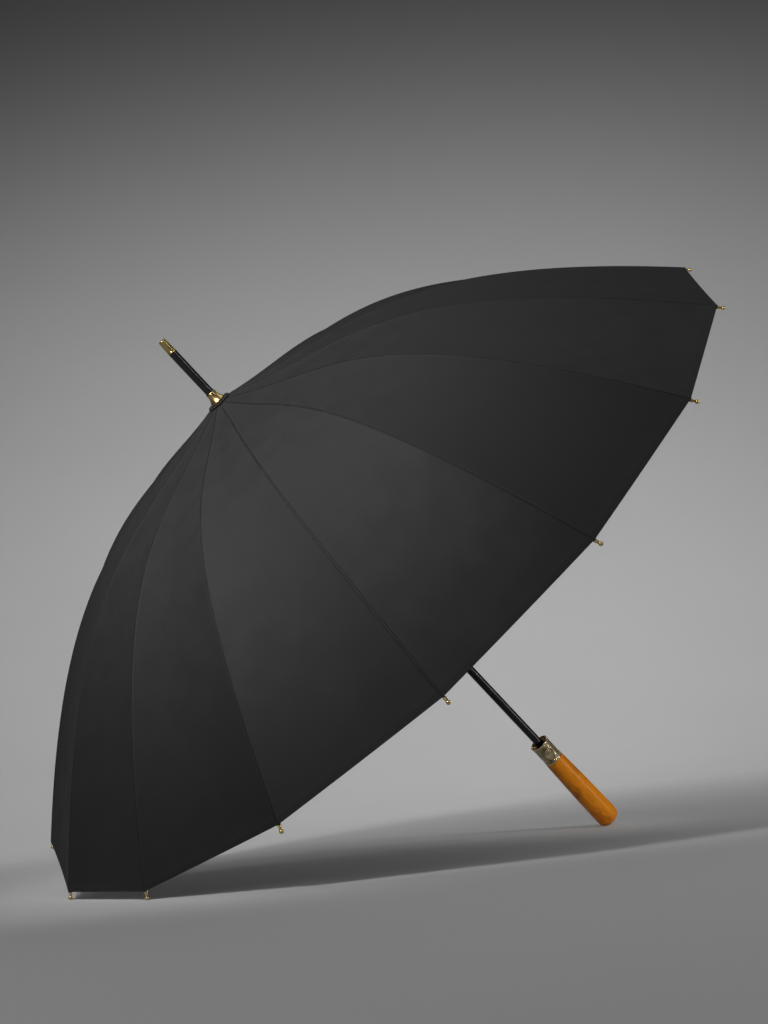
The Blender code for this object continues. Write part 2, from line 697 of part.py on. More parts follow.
def main():
    for obj in list(bpy.data.objects):
        bpy.data.objects.remove(obj)
    for name in ("stick_umbrella", "cutters"):
        bpy.context.scene.collection.children.link(bpy.data.collections.new(name))
    bpy.data.collections["cutters"].hide_render = True
    root = bpy.data.objects.new("umbrella_axis", None)
    bpy.data.collections["stick_umbrella"].objects.link(root)
    build_shaft(root)
    build_crown(root)
    build_frame_of(root)
    build_runner(root)
    build_grip(root)
    shade()
    lie_down(root)


main()
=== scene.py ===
"""The looks of an open stick umbrella: cloth, steel, brass and varnished wood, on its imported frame."""

import json
import math

import bmesh
import bpy
from bpy.props import FloatProperty, FloatVectorProperty, PointerProperty
from mathutils import Matrix, Vector


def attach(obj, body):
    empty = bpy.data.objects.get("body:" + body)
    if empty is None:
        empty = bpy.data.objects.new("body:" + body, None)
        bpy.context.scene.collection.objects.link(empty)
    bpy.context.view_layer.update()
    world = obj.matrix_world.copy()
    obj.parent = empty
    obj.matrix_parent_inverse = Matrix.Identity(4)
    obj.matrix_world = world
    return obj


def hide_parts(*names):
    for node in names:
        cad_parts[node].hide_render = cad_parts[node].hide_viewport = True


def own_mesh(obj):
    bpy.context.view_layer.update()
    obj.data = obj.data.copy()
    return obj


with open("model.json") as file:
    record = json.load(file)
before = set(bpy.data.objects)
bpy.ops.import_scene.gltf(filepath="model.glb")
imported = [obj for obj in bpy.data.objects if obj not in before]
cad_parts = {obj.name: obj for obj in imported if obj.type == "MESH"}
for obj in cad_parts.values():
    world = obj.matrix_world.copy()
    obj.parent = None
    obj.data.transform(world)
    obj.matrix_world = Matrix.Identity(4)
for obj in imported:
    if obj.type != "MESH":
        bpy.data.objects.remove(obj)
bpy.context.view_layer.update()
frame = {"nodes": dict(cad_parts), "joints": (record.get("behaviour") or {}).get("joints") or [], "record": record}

bl_info = {
    "name": "Stick umbrella",
    "version": (1, 0, 0),
    "blender": (4, 5, 0),
    "location": "3D View > Sidebar > Umbrella",
    "description": "Builds the cloth, frame and furniture of a stick umbrella with sixteen ribs",
    "category": "Object",
}

RIB_COUNT = 16
STEP = 2 * math.pi / RIB_COUNT
RIBS = [f"{i + 1:02d}" for i in range(RIB_COUNT)]
JOINTS = {joint["name"]: joint for joint in frame["joints"]}
MOUNTS = {mount["name"]: mount for mount in frame["record"]["mounts"]}

# Heights run along the shaft from the plane of the hem corners; radii are from its axis.
CANOPY_RADIUS = 0.540
CANOPY_RISE = 0.271
CROWN_HANDLE = (0.347, 0.825)
HEM_HANDLE = (0.496, 0.980)
SPIKE_END = CANOPY_RISE + 0.100
COLLAR_TOP = -0.3472
COLLAR_LENGTH = 0.0312
GRIP_TOP = COLLAR_TOP - COLLAR_LENGTH
GRIP_END = GRIP_TOP - 0.1236
TUBE_RADIUS = 0.0055
TUBE_BOTTOM = GRIP_TOP - 0.065
TUBE_TOP = SPIKE_END - 0.019
FABRIC = 0.0006
RIB_HIGH = 0.0026
RIB_WIDE = 0.0030
RIB_SINK = FABRIC + 0.0003 + RIB_WIDE / 2 * math.tan(STEP / 2) + RIB_HIGH / 2
TIP_RADIUS = 0.0024
TIP_LENGTH = 0.0090
BRACKET_ARC = 0.270
LUG_DROP = 0.0048
RUNNER_PIVOT = Vector((0.0125, 0.0))
COLLAR_RADIUS = 0.0132
BUTTON_AZIMUTH = math.radians(236)
BUTTON_LONG = 0.0155
BUTTON_WIDE = 0.0100


def lie_of_shaft():
    """The matrix that takes a point about the shaft to the umbrella's resting place."""
    along = Vector(JOINTS["runner_slide"]["axis"]).normalized()
    spike = Vector(MOUNTS["ferrule_end"]["pos_m"])
    low = sum((Vector(JOINTS["rib_fold_" + n]["pos_m"]) for n in RIBS[:2]), Vector()) / 2
    out = spike - low
    across = (out - along * out.dot(along)).normalized()
    side = along.cross(across)
    turned = Matrix((across, side, along)).transposed().to_4x4()
    return Matrix.Translation(spike - along * SPIKE_END) @ turned


LIE = lie_of_shaft()


def rib_azimuth(i):
    return math.pi + STEP * (i - 0.5)


def about_shaft(azimuth=0.0, height=0.0):
    return LIE @ Matrix.Rotation(azimuth, 4, "Z") @ Matrix.Translation((0, 0, height))


def seam_point(t):
    """A point (radius, height) of the seam line and its outward normal, from crown to hem."""
    ends = (
        Vector((0.0115, CANOPY_RISE - 0.0015)),
        Vector((CROWN_HANDLE[0] * CANOPY_RADIUS, CROWN_HANDLE[1] * CANOPY_RISE)),
        Vector((HEM_HANDLE[0] * CANOPY_RADIUS, HEM_HANDLE[1] * CANOPY_RISE)),
        Vector((CANOPY_RADIUS, 0.0)),
    )
    u = 1 - t
    point = ends[0] * u**3 + ends[1] * 3 * u * u * t + ends[2] * 3 * u * t * t + ends[3] * t**3
    along = (
        (ends[1] - ends[0]) * 3 * u * u
        + (ends[2] - ends[1]) * 6 * u * t
        + (ends[3] - ends[2]) * 3 * t * t
    ).normalized()
    return point, Vector((-along.y, along.x))


def seam_table(count=400):
    """The share t and the arc length at even steps along the seam line."""
    table, last, arc = [], seam_point(0)[0], 0.0
    for i in range(count + 1):
        point = seam_point(i / count)[0]
        arc += (point - last).length
        last = point
        table.append((i / count, arc))
    return table


SEAM = seam_table()
SEAM_LENGTH = SEAM[-1][1]


def seam_at(arc):
    """The share t at an arc length along the seam line."""
    for (t0, a0), (t1, a1) in zip(SEAM, SEAM[1:]):
        if arc <= a1:
            return t0 + (t1 - t0) * (arc - a0) / (a1 - a0)
    return 1.0


def rib_point(arc, sink=RIB_SINK):
    """A point, its direction and its outward normal on a line under the seam line."""
    t = seam_at(min(arc, SEAM_LENGTH))
    point, normal = seam_point(t)
    along = Vector((normal.y, -normal.x))
    return point - normal * sink + along * max(0.0, arc - SEAM_LENGTH), along, normal


# ---------------------------------------------------------------- settings


class UmbrellaSizes(bpy.types.PropertyGroup):
    """Sizes of the sewn and drawn details, in metres."""

    sag: FloatProperty(
        name="Gore sag",
        description="How far the middle of a gore is drawn in by the tension between its ribs",
        default=0.0042,
        min=0.0,
        unit="LENGTH",
    )
    hem: FloatProperty(
        name="Hem width",
        description="Width of the turned and stitched hem",
        default=0.009,
        min=0.002,
        unit="LENGTH",
    )
    seam: FloatProperty(
        name="Seam width",
        description="Width of the felled seam over each rib",
        default=0.0031,
        min=0.001,
        unit="LENGTH",
    )
    cloth: FloatProperty(
        name="Cloth thickness",
        description="Thickness of the canopy's cloth",
        default=0.0004,
        min=0.0001,
        unit="LENGTH",
    )
    fold: FloatProperty(
        name="Folded share",
        description="Share of a gore's width that shows beside its rib when the canopy is closed",
        default=0.32,
        min=0.05,
        max=1.0,
        subtype="FACTOR",
    )
    wire: FloatProperty(
        name="Hinge wire",
        description="Radius of the wires that the ribs and stretchers turn on",
        default=0.00045,
        min=0.0001,
        unit="LENGTH",
    )


class UmbrellaFinishes(bpy.types.PropertyGroup):
    """Colours of the umbrella's materials and of the stage."""

    cloth: FloatVectorProperty(
        name="Cloth", description="Canopy cloth", default=(0.0135, 0.0135, 0.0140), subtype="COLOR"
    )
    paint: FloatVectorProperty(
        name="Black paint", description="Shaft and ribs", default=(0.0035, 0.0035, 0.004), subtype="COLOR"
    )
    plastic: FloatVectorProperty(
        name="Black plastic", description="Notch and runner", default=(0.018, 0.018, 0.019), subtype="COLOR"
    )
    brass: FloatVectorProperty(
        name="Brass", description="Cap, bell and tips", default=(0.66, 0.49, 0.20), subtype="COLOR"
    )
    old_brass: FloatVectorProperty(
        name="Antique brass", description="Collar and button", default=(0.90, 0.77, 0.50), subtype="COLOR"
    )
    tarnish: FloatVectorProperty(
        name="Tarnish", description="Dark film in the hollows", default=(0.19, 0.135, 0.06), subtype="COLOR"
    )
    wood: FloatVectorProperty(
        name="Wood", description="Light wood of the grip", default=(0.84, 0.27, 0.004), subtype="COLOR"
    )
    wood_dark: FloatVectorProperty(
        name="Dark wood", description="Dark figure in the grip", default=(0.42, 0.105, 0.004), subtype="COLOR"
    )
    steel: FloatVectorProperty(
        name="Steel", description="Springs, wires and rivets", default=(0.50, 0.50, 0.51), subtype="COLOR"
    )
    floor: FloatVectorProperty(
        name="Floor", description="Floor and backdrop", default=(0.66, 0.66, 0.66), subtype="COLOR"
    )


# ---------------------------------------------------------------- shader groups


class Web:
    """A short way to add and join the nodes of one tree."""

    def __init__(self, tree):
        self.tree = tree

    def add(self, kind, settings=None, **inputs):
        node = self.tree.nodes.new(kind)
        for key, value in (settings or {}).items():
            setattr(node, key, value)
        for key, value in inputs.items():
            self.feed(node, int(key[1:]) if key[0] == "_" else key.replace("_", " "), value)
        return node

    def feed(self, node, key, value):
        if isinstance(value, bpy.types.NodeSocket):
            self.tree.links.new(value, node.inputs[key])
        else:
            node.inputs[key].default_value = value

    def sum(self, operation, *values):
        node = self.tree.nodes.new("ShaderNodeMath")
        node.operation = operation
        for i, value in enumerate(values):
            self.feed(node, i, value)
        return node.outputs[0]

    def ramp(self, value, low, high):
        node = self.tree.nodes.new("ShaderNodeMapRange")
        node.interpolation_type = "SMOOTHSTEP"
        self.feed(node, "Value", value)
        node.inputs["From Min"].default_value = low
        node.inputs["From Max"].default_value = high
        return node.outputs["Result"]

    def mix(self, share, first, second):
        node = self.tree.nodes.new("ShaderNodeMix")
        node.data_type = "RGBA"
        self.feed(node, 0, share)
        for key, value in ((6, first), (7, second)):
            if not isinstance(value, bpy.types.NodeSocket):
                value = (*value, 1.0)
            self.feed(node, key, value)
        return node.outputs[2]


def group_tree(name, inputs, outputs):
    """A new shader group with named sockets, or None when it is already there."""
    if name in bpy.data.node_groups:
        return None
    tree = bpy.data.node_groups.new(name, "ShaderNodeTree")
    for label, kind, default in inputs:
        socket = tree.interface.new_socket(name=label, in_out="INPUT", socket_type=kind)
        if default is not None:
            socket.default_value = default
    for label in outputs:
        tree.interface.new_socket(name=label, in_out="OUTPUT", socket_type="NodeSocketFloat")
    return tree


FLOAT, VECTOR = "NodeSocketFloat", "NodeSocketVector"


def stitch_group():
    """Thread stitches along a line: a mask and a height from the distance off and along it."""
    name = "Stitching"
    tree = group_tree(
        name,
        [("Off", FLOAT, 0.0), ("Along", FLOAT, 0.0), ("Pitch", FLOAT, 0.003), ("Thread", FLOAT, 0.0004)],
        ["Mask", "Height"],
    )
    if tree is None:
        return bpy.data.node_groups[name]
    web = Web(tree)
    source, sink = web.add("NodeGroupInput"), web.add("NodeGroupOutput")
    off = web.sum("ABSOLUTE", source.outputs["Off"])
    near = web.sum("SUBTRACT", 1.0, web.sum("DIVIDE", off, source.outputs["Thread"]))
    near = web.sum("MAXIMUM", near, 0.0)
    beat = web.sum("FRACT", web.sum("DIVIDE", source.outputs["Along"], source.outputs["Pitch"]))
    dash = web.sum("SUBTRACT", 0.42, web.sum("ABSOLUTE", web.sum("SUBTRACT", beat, 0.5)))
    dash = web.sum("MINIMUM", web.sum("MULTIPLY", web.sum("MAXIMUM", dash, 0.0), 8.0), 1.0)
    web.feed(sink, "Mask", web.sum("MULTIPLY", web.sum("GREATER_THAN", near, 0.15), dash))
    web.feed(sink, "Height", web.sum("MULTIPLY", near, dash))
    return tree


def weave_group():
    """A plain weave: the height of its threads and a soft mottle of its dye."""
    name = "Plain weave"
    tree = group_tree(
        name, [("Place", VECTOR, None), ("Thread", FLOAT, 0.0005)], ["Height", "Mottle", "Slub"]
    )
    if tree is None:
        return bpy.data.node_groups[name]
    web = Web(tree)
    source, sink = web.add("NodeGroupInput"), web.add("NodeGroupOutput")
    place = source.outputs["Place"]
    apart = web.add("ShaderNodeSeparateXYZ", Vector=place)
    turns = [
        web.sum("MULTIPLY", web.sum("DIVIDE", apart.outputs[i], source.outputs["Thread"]), math.pi)
        for i in (0, 1)
    ]
    cross = web.sum("MULTIPLY", web.sum("SINE", turns[0]), web.sum("SINE", turns[1]))
    web.feed(sink, "Height", web.sum("MULTIPLY_ADD", cross, 0.5, 0.5))
    mottle = web.add("ShaderNodeTexNoise", Vector=place, Scale=26.0, Detail=5.0, Roughness=0.6)
    web.feed(sink, "Mottle", web.ramp(mottle.outputs[0], 0.3, 0.7))
    stretched = web.add("ShaderNodeMapping", _0=place)
    stretched.inputs["Scale"].default_value = (2600.0, 90.0, 1.0)
    slub = web.add("ShaderNodeTexNoise", Vector=stretched.outputs[0], Scale=1.0, Detail=2.0)
    web.feed(sink, "Slub", slub.outputs[0])
    return tree


def wear_group():
    """Handling marks: soft smudges, fine scratches across the surface and a little dust."""
    name = "Handling marks"
    tree = group_tree(
        name, [("Place", VECTOR, None), ("Size", FLOAT, 0.01)], ["Smudge", "Scratch", "Dust"]
    )
    if tree is None:
        return bpy.data.node_groups[name]
    web = Web(tree)
    source, sink = web.add("NodeGroupInput"), web.add("NodeGroupOutput")
    scale = web.sum("DIVIDE", 1.0, source.outputs["Size"])
    scaled = web.add("ShaderNodeVectorMath", {"operation": "SCALE"}, _0=source.outputs["Place"])
    web.feed(scaled, "Scale", scale)
    smudge = web.add("ShaderNodeTexNoise", Vector=scaled.outputs[0], Scale=1.0, Detail=6.0)
    web.feed(sink, "Smudge", web.ramp(smudge.outputs[0], 0.35, 0.7))
    thin = web.add("ShaderNodeMapping", _0=scaled.outputs[0])
    thin.inputs["Scale"].default_value = (14.0, 14.0, 0.7)
    thin.inputs["Rotation"].default_value = (0.25, 0.4, 0.2)
    scratch = web.add("ShaderNodeTexNoise", Vector=thin.outputs[0], Scale=3.0, Detail=2.0)
    web.feed(sink, "Scratch", web.ramp(scratch.outputs[0], 0.62, 0.70))
    dust = web.add("ShaderNodeTexNoise", Vector=scaled.outputs[0], Scale=38.0, Detail=2.0)
    web.feed(sink, "Dust", web.ramp(dust.outputs[0], 0.60, 0.78))
    return tree


# ---------------------------------------------------------------- materials


def finish_of(name):
    return tuple(getattr(bpy.context.scene.umbrella_finishes, name))


def start_material(name, rough, metal=0.0):
    made = bpy.data.materials.new(name)
    made.use_nodes = True
    shader = made.node_tree.nodes["Principled BSDF"]
    shader.inputs["Roughness"].default_value = rough
    shader.inputs["Metallic"].default_value = metal
    return made, Web(made.node_tree), shader


def placed_group(web, tree, **inputs):
    node = web.add("ShaderNodeGroup", {"node_tree": tree})
    for key, value in inputs.items():
        web.feed(node, key, value)
    return node


def bump(web, shader, height, distance, strength=1.0):
    node = web.add("ShaderNodeBump", Height=height, Distance=distance, Strength=strength)
    web.feed(shader, "Normal", node.outputs[0])


def kept(name, make):
    """The material of this name, made the first time that it is asked for."""
    return bpy.data.materials.get(name) or make(name)


def cloth_material(name="canopy cloth"):
    """Tight black plain-weave cloth, puckered beside its seams and stitched along its hem."""
    made, web, shader = start_material(name, 0.62)
    uv = web.add("ShaderNodeUVMap", {"uv_map": "cloth"}).outputs[0]
    apart = web.add("ShaderNodeSeparateXYZ", Vector=uv)
    across, along = apart.outputs[0], apart.outputs[1]
    gore = web.add("ShaderNodeUVMap", {"uv_map": "gore"}).outputs[0]
    weave = placed_group(web, weave_group(), Place=gore, Thread=0.0005)
    sizes = bpy.context.scene.umbrella_sizes
    seam = placed_group(web, stitch_group(), Along=along)
    web.feed(seam, "Off", web.sum("SUBTRACT", across, sizes.seam / 2 + 0.0008))
    hem = placed_group(web, stitch_group(), Along=across)
    line = web.sum("SUBTRACT", SEAM_LENGTH - sizes.hem * 0.78, along)
    web.feed(hem, "Off", line)
    wobble = web.add("ShaderNodeTexNoise", Vector=uv, Scale=60.0, Detail=2.0).outputs[0]
    wave = web.sum("SINE", web.sum("MULTIPLY_ADD", wobble, 5.0, web.sum("MULTIPLY", along, 480.0)))
    fade = web.sum("POWER", 2.718, web.sum("MULTIPLY", across, -150.0))
    pucker = web.sum("MULTIPLY", wave, fade)
    drawn = web.add("ShaderNodeMapping", _0=gore)
    drawn.inputs["Scale"].default_value = (34.0, 5.0, 1.0)
    crease = web.add("ShaderNodeTexNoise", Vector=drawn.outputs[0], Scale=1.0, Detail=4.0).outputs[0]
    colour = finish_of("cloth")
    pale = tuple(c * 1.10 for c in colour)
    mottled = web.mix(weave.outputs["Mottle"], colour, pale)
    worn = web.mix(web.ramp(weave.outputs["Slub"], 0.62, 0.75), mottled, tuple(c * 1.9 for c in colour))
    thread = web.sum("MAXIMUM", seam.outputs["Mask"], hem.outputs["Mask"])
    web.feed(shader, "Base Color", web.mix(thread, worn, tuple(c * 1.7 for c in colour)))
    rough = web.sum("MULTIPLY_ADD", weave.outputs["Mottle"], 0.10, 0.56)
    web.feed(shader, "Roughness", web.sum("MULTIPLY_ADD", crease, 0.08, rough))
    shader.inputs["Specular IOR Level"].default_value = 0.15
    stitches = web.sum("ADD", seam.outputs["Height"], hem.outputs["Height"])
    height = web.sum("MULTIPLY_ADD", stitches, 0.28, web.sum("MULTIPLY", weave.outputs["Height"], 0.07))
    height = web.sum("MULTIPLY_ADD", pucker, 0.10, height)
    height = web.sum("MULTIPLY_ADD", crease, 0.35, height)
    bump(web, shader, height, 0.001, 0.8)
    return made


def seam_material(name="seam cloth"):
    """The doubled cloth of a felled seam, with a row of stitches along each edge."""
    made, web, shader = start_material(name, 0.6)
    uv = web.add("ShaderNodeUVMap", {"uv_map": "cloth"}).outputs[0]
    apart = web.add("ShaderNodeSeparateXYZ", Vector=uv)
    weave = placed_group(web, weave_group(), Place=uv, Thread=0.0005)
    half = bpy.context.scene.umbrella_sizes.seam / 2
    row = placed_group(web, stitch_group(), Along=apart.outputs[1])
    web.feed(row, "Off", web.sum("SUBTRACT", web.sum("ABSOLUTE", apart.outputs[0]), half * 0.62))
    colour = tuple(c * 0.42 for c in finish_of("cloth"))
    mottled = web.mix(weave.outputs["Mottle"], colour, tuple(c * 1.5 for c in colour))
    web.feed(shader, "Base Color", web.mix(row.outputs["Mask"], mottled, tuple(c * 2.0 for c in colour)))
    web.feed(shader, "Roughness", web.sum("MULTIPLY_ADD", weave.outputs["Mottle"], 0.12, 0.55))
    shader.inputs["Specular IOR Level"].default_value = 0.2
    height = web.sum("MULTIPLY_ADD", row.outputs["Height"], 0.3, web.sum("MULTIPLY", weave.outputs[0], 0.07))
    bump(web, shader, height, 0.001)
    return made


def paint_material(name="black enamel"):
    """Gloss black enamel on steel, with a faint orange peel and rubbed marks."""
    made, web, shader = start_material(name, 0.22)
    place = web.add("ShaderNodeTexCoord").outputs["Object"]
    marks = placed_group(web, wear_group(), Place=place, Size=0.012)
    colour = finish_of("paint")
    dusty = web.mix(web.sum("MULTIPLY", marks.outputs["Dust"], 0.12), colour, (0.05, 0.05, 0.05))
    web.feed(shader, "Base Color", dusty)
    rough = web.sum("MULTIPLY_ADD", marks.outputs["Smudge"], 0.08, 0.09)
    web.feed(shader, "Roughness", web.sum("MULTIPLY_ADD", marks.outputs["Scratch"], 0.15, rough))
    shader.inputs["Coat Weight"].default_value = 0.2
    shader.inputs["Coat Roughness"].default_value = 0.06
    peel = web.add("ShaderNodeTexNoise", Vector=place, Scale=900.0, Detail=1.0).outputs[0]
    bump(web, shader, web.sum("MULTIPLY_ADD", marks.outputs["Scratch"], -0.3, peel), 0.00003)
    return made


def plastic_material(name="moulded black plastic"):
    made, web, shader = start_material(name, 0.38)
    place = web.add("ShaderNodeTexCoord").outputs["Object"]
    marks = placed_group(web, wear_group(), Place=place, Size=0.008)
    colour = finish_of("plastic")
    web.feed(shader, "Base Color", web.mix(marks.outputs["Dust"], colour, tuple(c * 2.2 for c in colour)))
    web.feed(shader, "Roughness", web.sum("MULTIPLY_ADD", marks.outputs["Smudge"], 0.18, 0.30))
    grain = web.add("ShaderNodeTexNoise", Vector=place, Scale=2600.0, Detail=2.0).outputs[0]
    bump(web, shader, web.sum("MULTIPLY_ADD", marks.outputs["Scratch"], -0.4, grain), 0.00004)
    return made


def steel_material(name="spring steel"):
    made, web, shader = start_material(name, 0.32, 1.0)
    place = web.add("ShaderNodeTexCoord").outputs["Object"]
    marks = placed_group(web, wear_group(), Place=place, Size=0.006)
    colour = finish_of("steel")
    web.feed(shader, "Base Color", web.mix(marks.outputs["Smudge"], colour, tuple(c * 0.6 for c in colour)))
    web.feed(shader, "Roughness", web.sum("MULTIPLY_ADD", marks.outputs["Smudge"], 0.2, 0.24))
    drawn = web.add("ShaderNodeTexNoise", Vector=place, Scale=1800.0, Detail=1.0).outputs[0]
    bump(web, shader, drawn, 0.00003)
    return made


def brass_material(name="polished brass"):
    """Bright turned brass, with fine lathe lines round it and a light film of tarnish."""
    made, web, shader = start_material(name, 0.2, 1.0)
    place = web.add("ShaderNodeAttribute", {"attribute_name": "own_place"}).outputs["Vector"]
    marks = placed_group(web, wear_group(), Place=place, Size=0.007)
    film = web.sum("MULTIPLY", marks.outputs["Smudge"], 0.45)
    web.feed(shader, "Base Color", web.mix(film, finish_of("brass"), (0.36, 0.23, 0.08)))
    web.feed(shader, "Roughness", web.sum("MULTIPLY_ADD", marks.outputs["Smudge"], 0.16, 0.15))
    height = web.add("ShaderNodeSeparateXYZ", Vector=place).outputs[2]
    lines = web.sum("SINE", web.sum("MULTIPLY", height, 22000.0))
    web.feed(shader, "Coat Weight", web.sum("MULTIPLY_ADD", marks.outputs["Dust"], -0.2, 0.35))
    bump(web, shader, web.sum("MULTIPLY_ADD", marks.outputs["Scratch"], -0.6, lines), 0.00001, 0.6)
    return made


def engraved_material(name="engraved brass"):
    """Antique brass cut with running scrolls, dark in the cuts and rubbed bright between them."""
    made, web, shader = start_material(name, 0.3, 1.0)
    uv = web.add("ShaderNodeUVMap", {"uv_map": "band"}).outputs[0]
    apart = web.add("ShaderNodeSeparateXYZ", Vector=uv)
    around, along = apart.outputs[0], apart.outputs[1]
    place = web.add("ShaderNodeTexCoord").outputs["Object"]
    marks = placed_group(web, wear_group(), Place=place, Size=0.006)
    stalk = web.sum("MULTIPLY", web.sum("SINE", web.sum("MULTIPLY", around, 2 * math.pi * 5)), 0.0048)
    off = web.sum("ABSOLUTE", web.sum("SUBTRACT", along, stalk))
    vine = web.ramp(off, 0.0010, 0.0004)
    leaf = web.add("ShaderNodeTexVoronoi", {"feature": "DISTANCE_TO_EDGE"}, Scale=1.0)
    spread = web.add("ShaderNodeMapping", _0=uv)
    spread.inputs["Scale"].default_value = (20.0, 290.0, 1.0)
    web.feed(leaf, "Vector", spread.outputs[0])
    veins = web.ramp(leaf.outputs[0], 0.10, 0.03)
    swirl = web.add("ShaderNodeTexWave", {"wave_type": "RINGS"}, Scale=1.4, Distortion=5.0, Detail=1.5)
    web.feed(swirl, "Vector", spread.outputs[0])
    curls = web.ramp(swirl.outputs[1], 0.35, 0.15)
    inside = web.ramp(web.sum("ABSOLUTE", along), 0.0128, 0.0122)
    cuts = web.sum("MAXIMUM", web.sum("MAXIMUM", vine, veins), web.sum("MULTIPLY", curls, 0.8))
    cuts = web.sum("MULTIPLY", cuts, inside)
    filled = web.sum("MULTIPLY_ADD", marks.outputs["Smudge"], 0.15, web.sum("MULTIPLY", cuts, 0.8))
    film = web.sum("MINIMUM", filled, 1.0)
    web.feed(shader, "Base Color", web.mix(film, finish_of("old_brass"), finish_of("tarnish")))
    web.feed(shader, "Roughness", web.sum("MULTIPLY_ADD", film, 0.30, 0.20))
    bump(web, shader, web.sum("MULTIPLY", cuts, -1.0), 0.00012)
    return made


def antique_material(name="antique brass"):
    """Plain antique brass for the beads and the button."""
    made, web, shader = start_material(name, 0.28, 1.0)
    place = web.add("ShaderNodeTexCoord").outputs["Object"]
    marks = placed_group(web, wear_group(), Place=place, Size=0.005)
    film = web.sum("MULTIPLY", marks.outputs["Smudge"], 0.6)
    web.feed(shader, "Base Color", web.mix(film, finish_of("old_brass"), (0.25, 0.17, 0.07)))
    web.feed(shader, "Roughness", web.sum("MULTIPLY_ADD", film, 0.25, 0.18))
    bump(web, shader, web.sum("MULTIPLY", marks.outputs["Scratch"], -1.0), 0.00002)
    return made


def groove_tarnish_and_shade_material(name="tarnished groove"):
    # Partly painted shade: a near-black copy of the tarnish colour on a thin wire ring round the button, standing
    # for the shade in a groove there as well as its tarnish.
    made, web, shader = start_material(name, 0.6, 1.0)
    place = web.add("ShaderNodeTexCoord").outputs["Object"]
    marks = placed_group(web, wear_group(), Place=place, Size=0.004)
    dark = tuple(c * 0.12 for c in finish_of("tarnish"))
    web.feed(shader, "Base Color", web.mix(marks.outputs["Smudge"], dark, tuple(c * 0.4 for c in dark)))
    web.feed(shader, "Roughness", web.sum("MULTIPLY_ADD", marks.outputs["Dust"], 0.2, 0.5))
    bump(web, shader, marks.outputs["Smudge"], 0.00005)
    return made


def wood_material(name="varnished wood"):
    """Amber wood with dark figure and fine grain along it, under a thick clear varnish."""
    made, web, shader = start_material(name, 0.34)
    place = web.add("ShaderNodeAttribute", {"attribute_name": "own_place"}).outputs["Vector"]
    warp = web.add("ShaderNodeTexNoise", Vector=place, Scale=42.0, Detail=3.0)
    bent = web.add("ShaderNodeVectorMath", {"operation": "MULTIPLY_ADD"}, _0=warp.outputs[1])
    bent.inputs[1].default_value = (0.016, 0.016, 0.040)
    web.feed(bent, 2, place)
    long = web.add("ShaderNodeMapping", _0=bent.outputs[0])
    long.inputs["Scale"].default_value = (60.0, 60.0, 21.0)
    figure = web.add("ShaderNodeTexNoise", Vector=long.outputs[0], Scale=1.0, Detail=3.0, Distortion=0.6)
    patch = web.ramp(figure.outputs[0], 0.50, 0.68)
    rings = web.add("ShaderNodeMapping", _0=bent.outputs[0])
    rings.inputs["Scale"].default_value = (520.0, 520.0, 24.0)
    band = web.add("ShaderNodeTexNoise", Vector=rings.outputs[0], Scale=1.0, Detail=2.0)
    streak = web.ramp(band.outputs[0], 0.42, 0.66)
    pores = web.add("ShaderNodeMapping", _0=place)
    pores.inputs["Scale"].default_value = (2600.0, 2600.0, 130.0)
    pore = web.add("ShaderNodeTexNoise", Vector=pores.outputs[0], Scale=1.0, Detail=1.0)
    spot = web.ramp(pore.outputs[0], 0.66, 0.76)
    light, dark = finish_of("wood"), finish_of("wood_dark")
    warm = web.mix(web.sum("MULTIPLY", streak, 0.45), light, tuple(c * 0.55 for c in light))
    shaded = web.mix(web.sum("MULTIPLY", patch, 0.80), warm, dark)
    deep = tuple(c * 0.4 for c in dark)
    web.feed(shader, "Base Color", web.mix(web.sum("MULTIPLY", spot, 0.55), shaded, deep))
    web.feed(shader, "Roughness", web.sum("MULTIPLY_ADD", streak, 0.12, 0.30))
    shader.inputs["Specular IOR Level"].default_value = 0.25
    shader.inputs["Coat Weight"].default_value = 0.08
    shader.inputs["Coat Roughness"].default_value = 0.12
    height = web.sum("MULTIPLY_ADD", spot, -0.5, web.sum("MULTIPLY", streak, 0.15))
    bump(web, shader, height, 0.00008, 0.6)
    return made


def floor_material(name="studio paper"):
    """Pale matt paper under painted shade: full tone on the floor and the foot of the wall, darkened with height
    up the wall to about an eighth of it at the top.
    """
    made, web, shader = start_material(name, 0.85)
    place = web.add("ShaderNodeTexCoord").outputs["Object"]
    grain = web.add("ShaderNodeTexNoise", Vector=place, Scale=3.0, Detail=3.0).outputs[0]
    fibre = web.add("ShaderNodeTexNoise", Vector=place, Scale=1400.0, Detail=2.0).outputs[0]
    colour = finish_of("floor")
    paper = web.mix(grain, tuple(c * 0.97 for c in colour), tuple(c * 1.03 for c in colour))
    rise = web.add("ShaderNodeSeparateXYZ", Vector=place).outputs[2]
    # Painted shade: a ramp with height darkens the wall, standing in for light falling off up the backdrop.
    painted_wall_shade = web.ramp(rise, 0.45, 3.6)
    web.feed(shader, "Base Color", web.mix(painted_wall_shade, paper, tuple(c * 0.13 for c in colour)))
    bump(web, shader, fibre, 0.0001, 0.3)
    return made


# ---------------------------------------------------------------- shapes


def coil(radius, wire, turns, low, high, per_turn=24):
    """A round spring about the height axis, its wire wholly between two heights."""
    section = [(wire * math.cos(i * math.pi / 4), wire * math.sin(i * math.pi / 4)) for i in range(8)]
    rise = (high - low - 2 * wire) / (turns * per_turn)
    stations = []
    for i in range(turns * per_turn + 1):
        turn = 2 * math.pi * i / per_turn
        out = Vector((math.cos(turn), math.sin(turn), 0))
        ahead = Vector((-out.y, out.x, rise * per_turn / (2 * math.pi * radius))).normalized()
        point = out * radius + Vector((0, 0, low + wire + rise * i))
        stations.append((point, ahead, out, section))
    return sweep(stations)


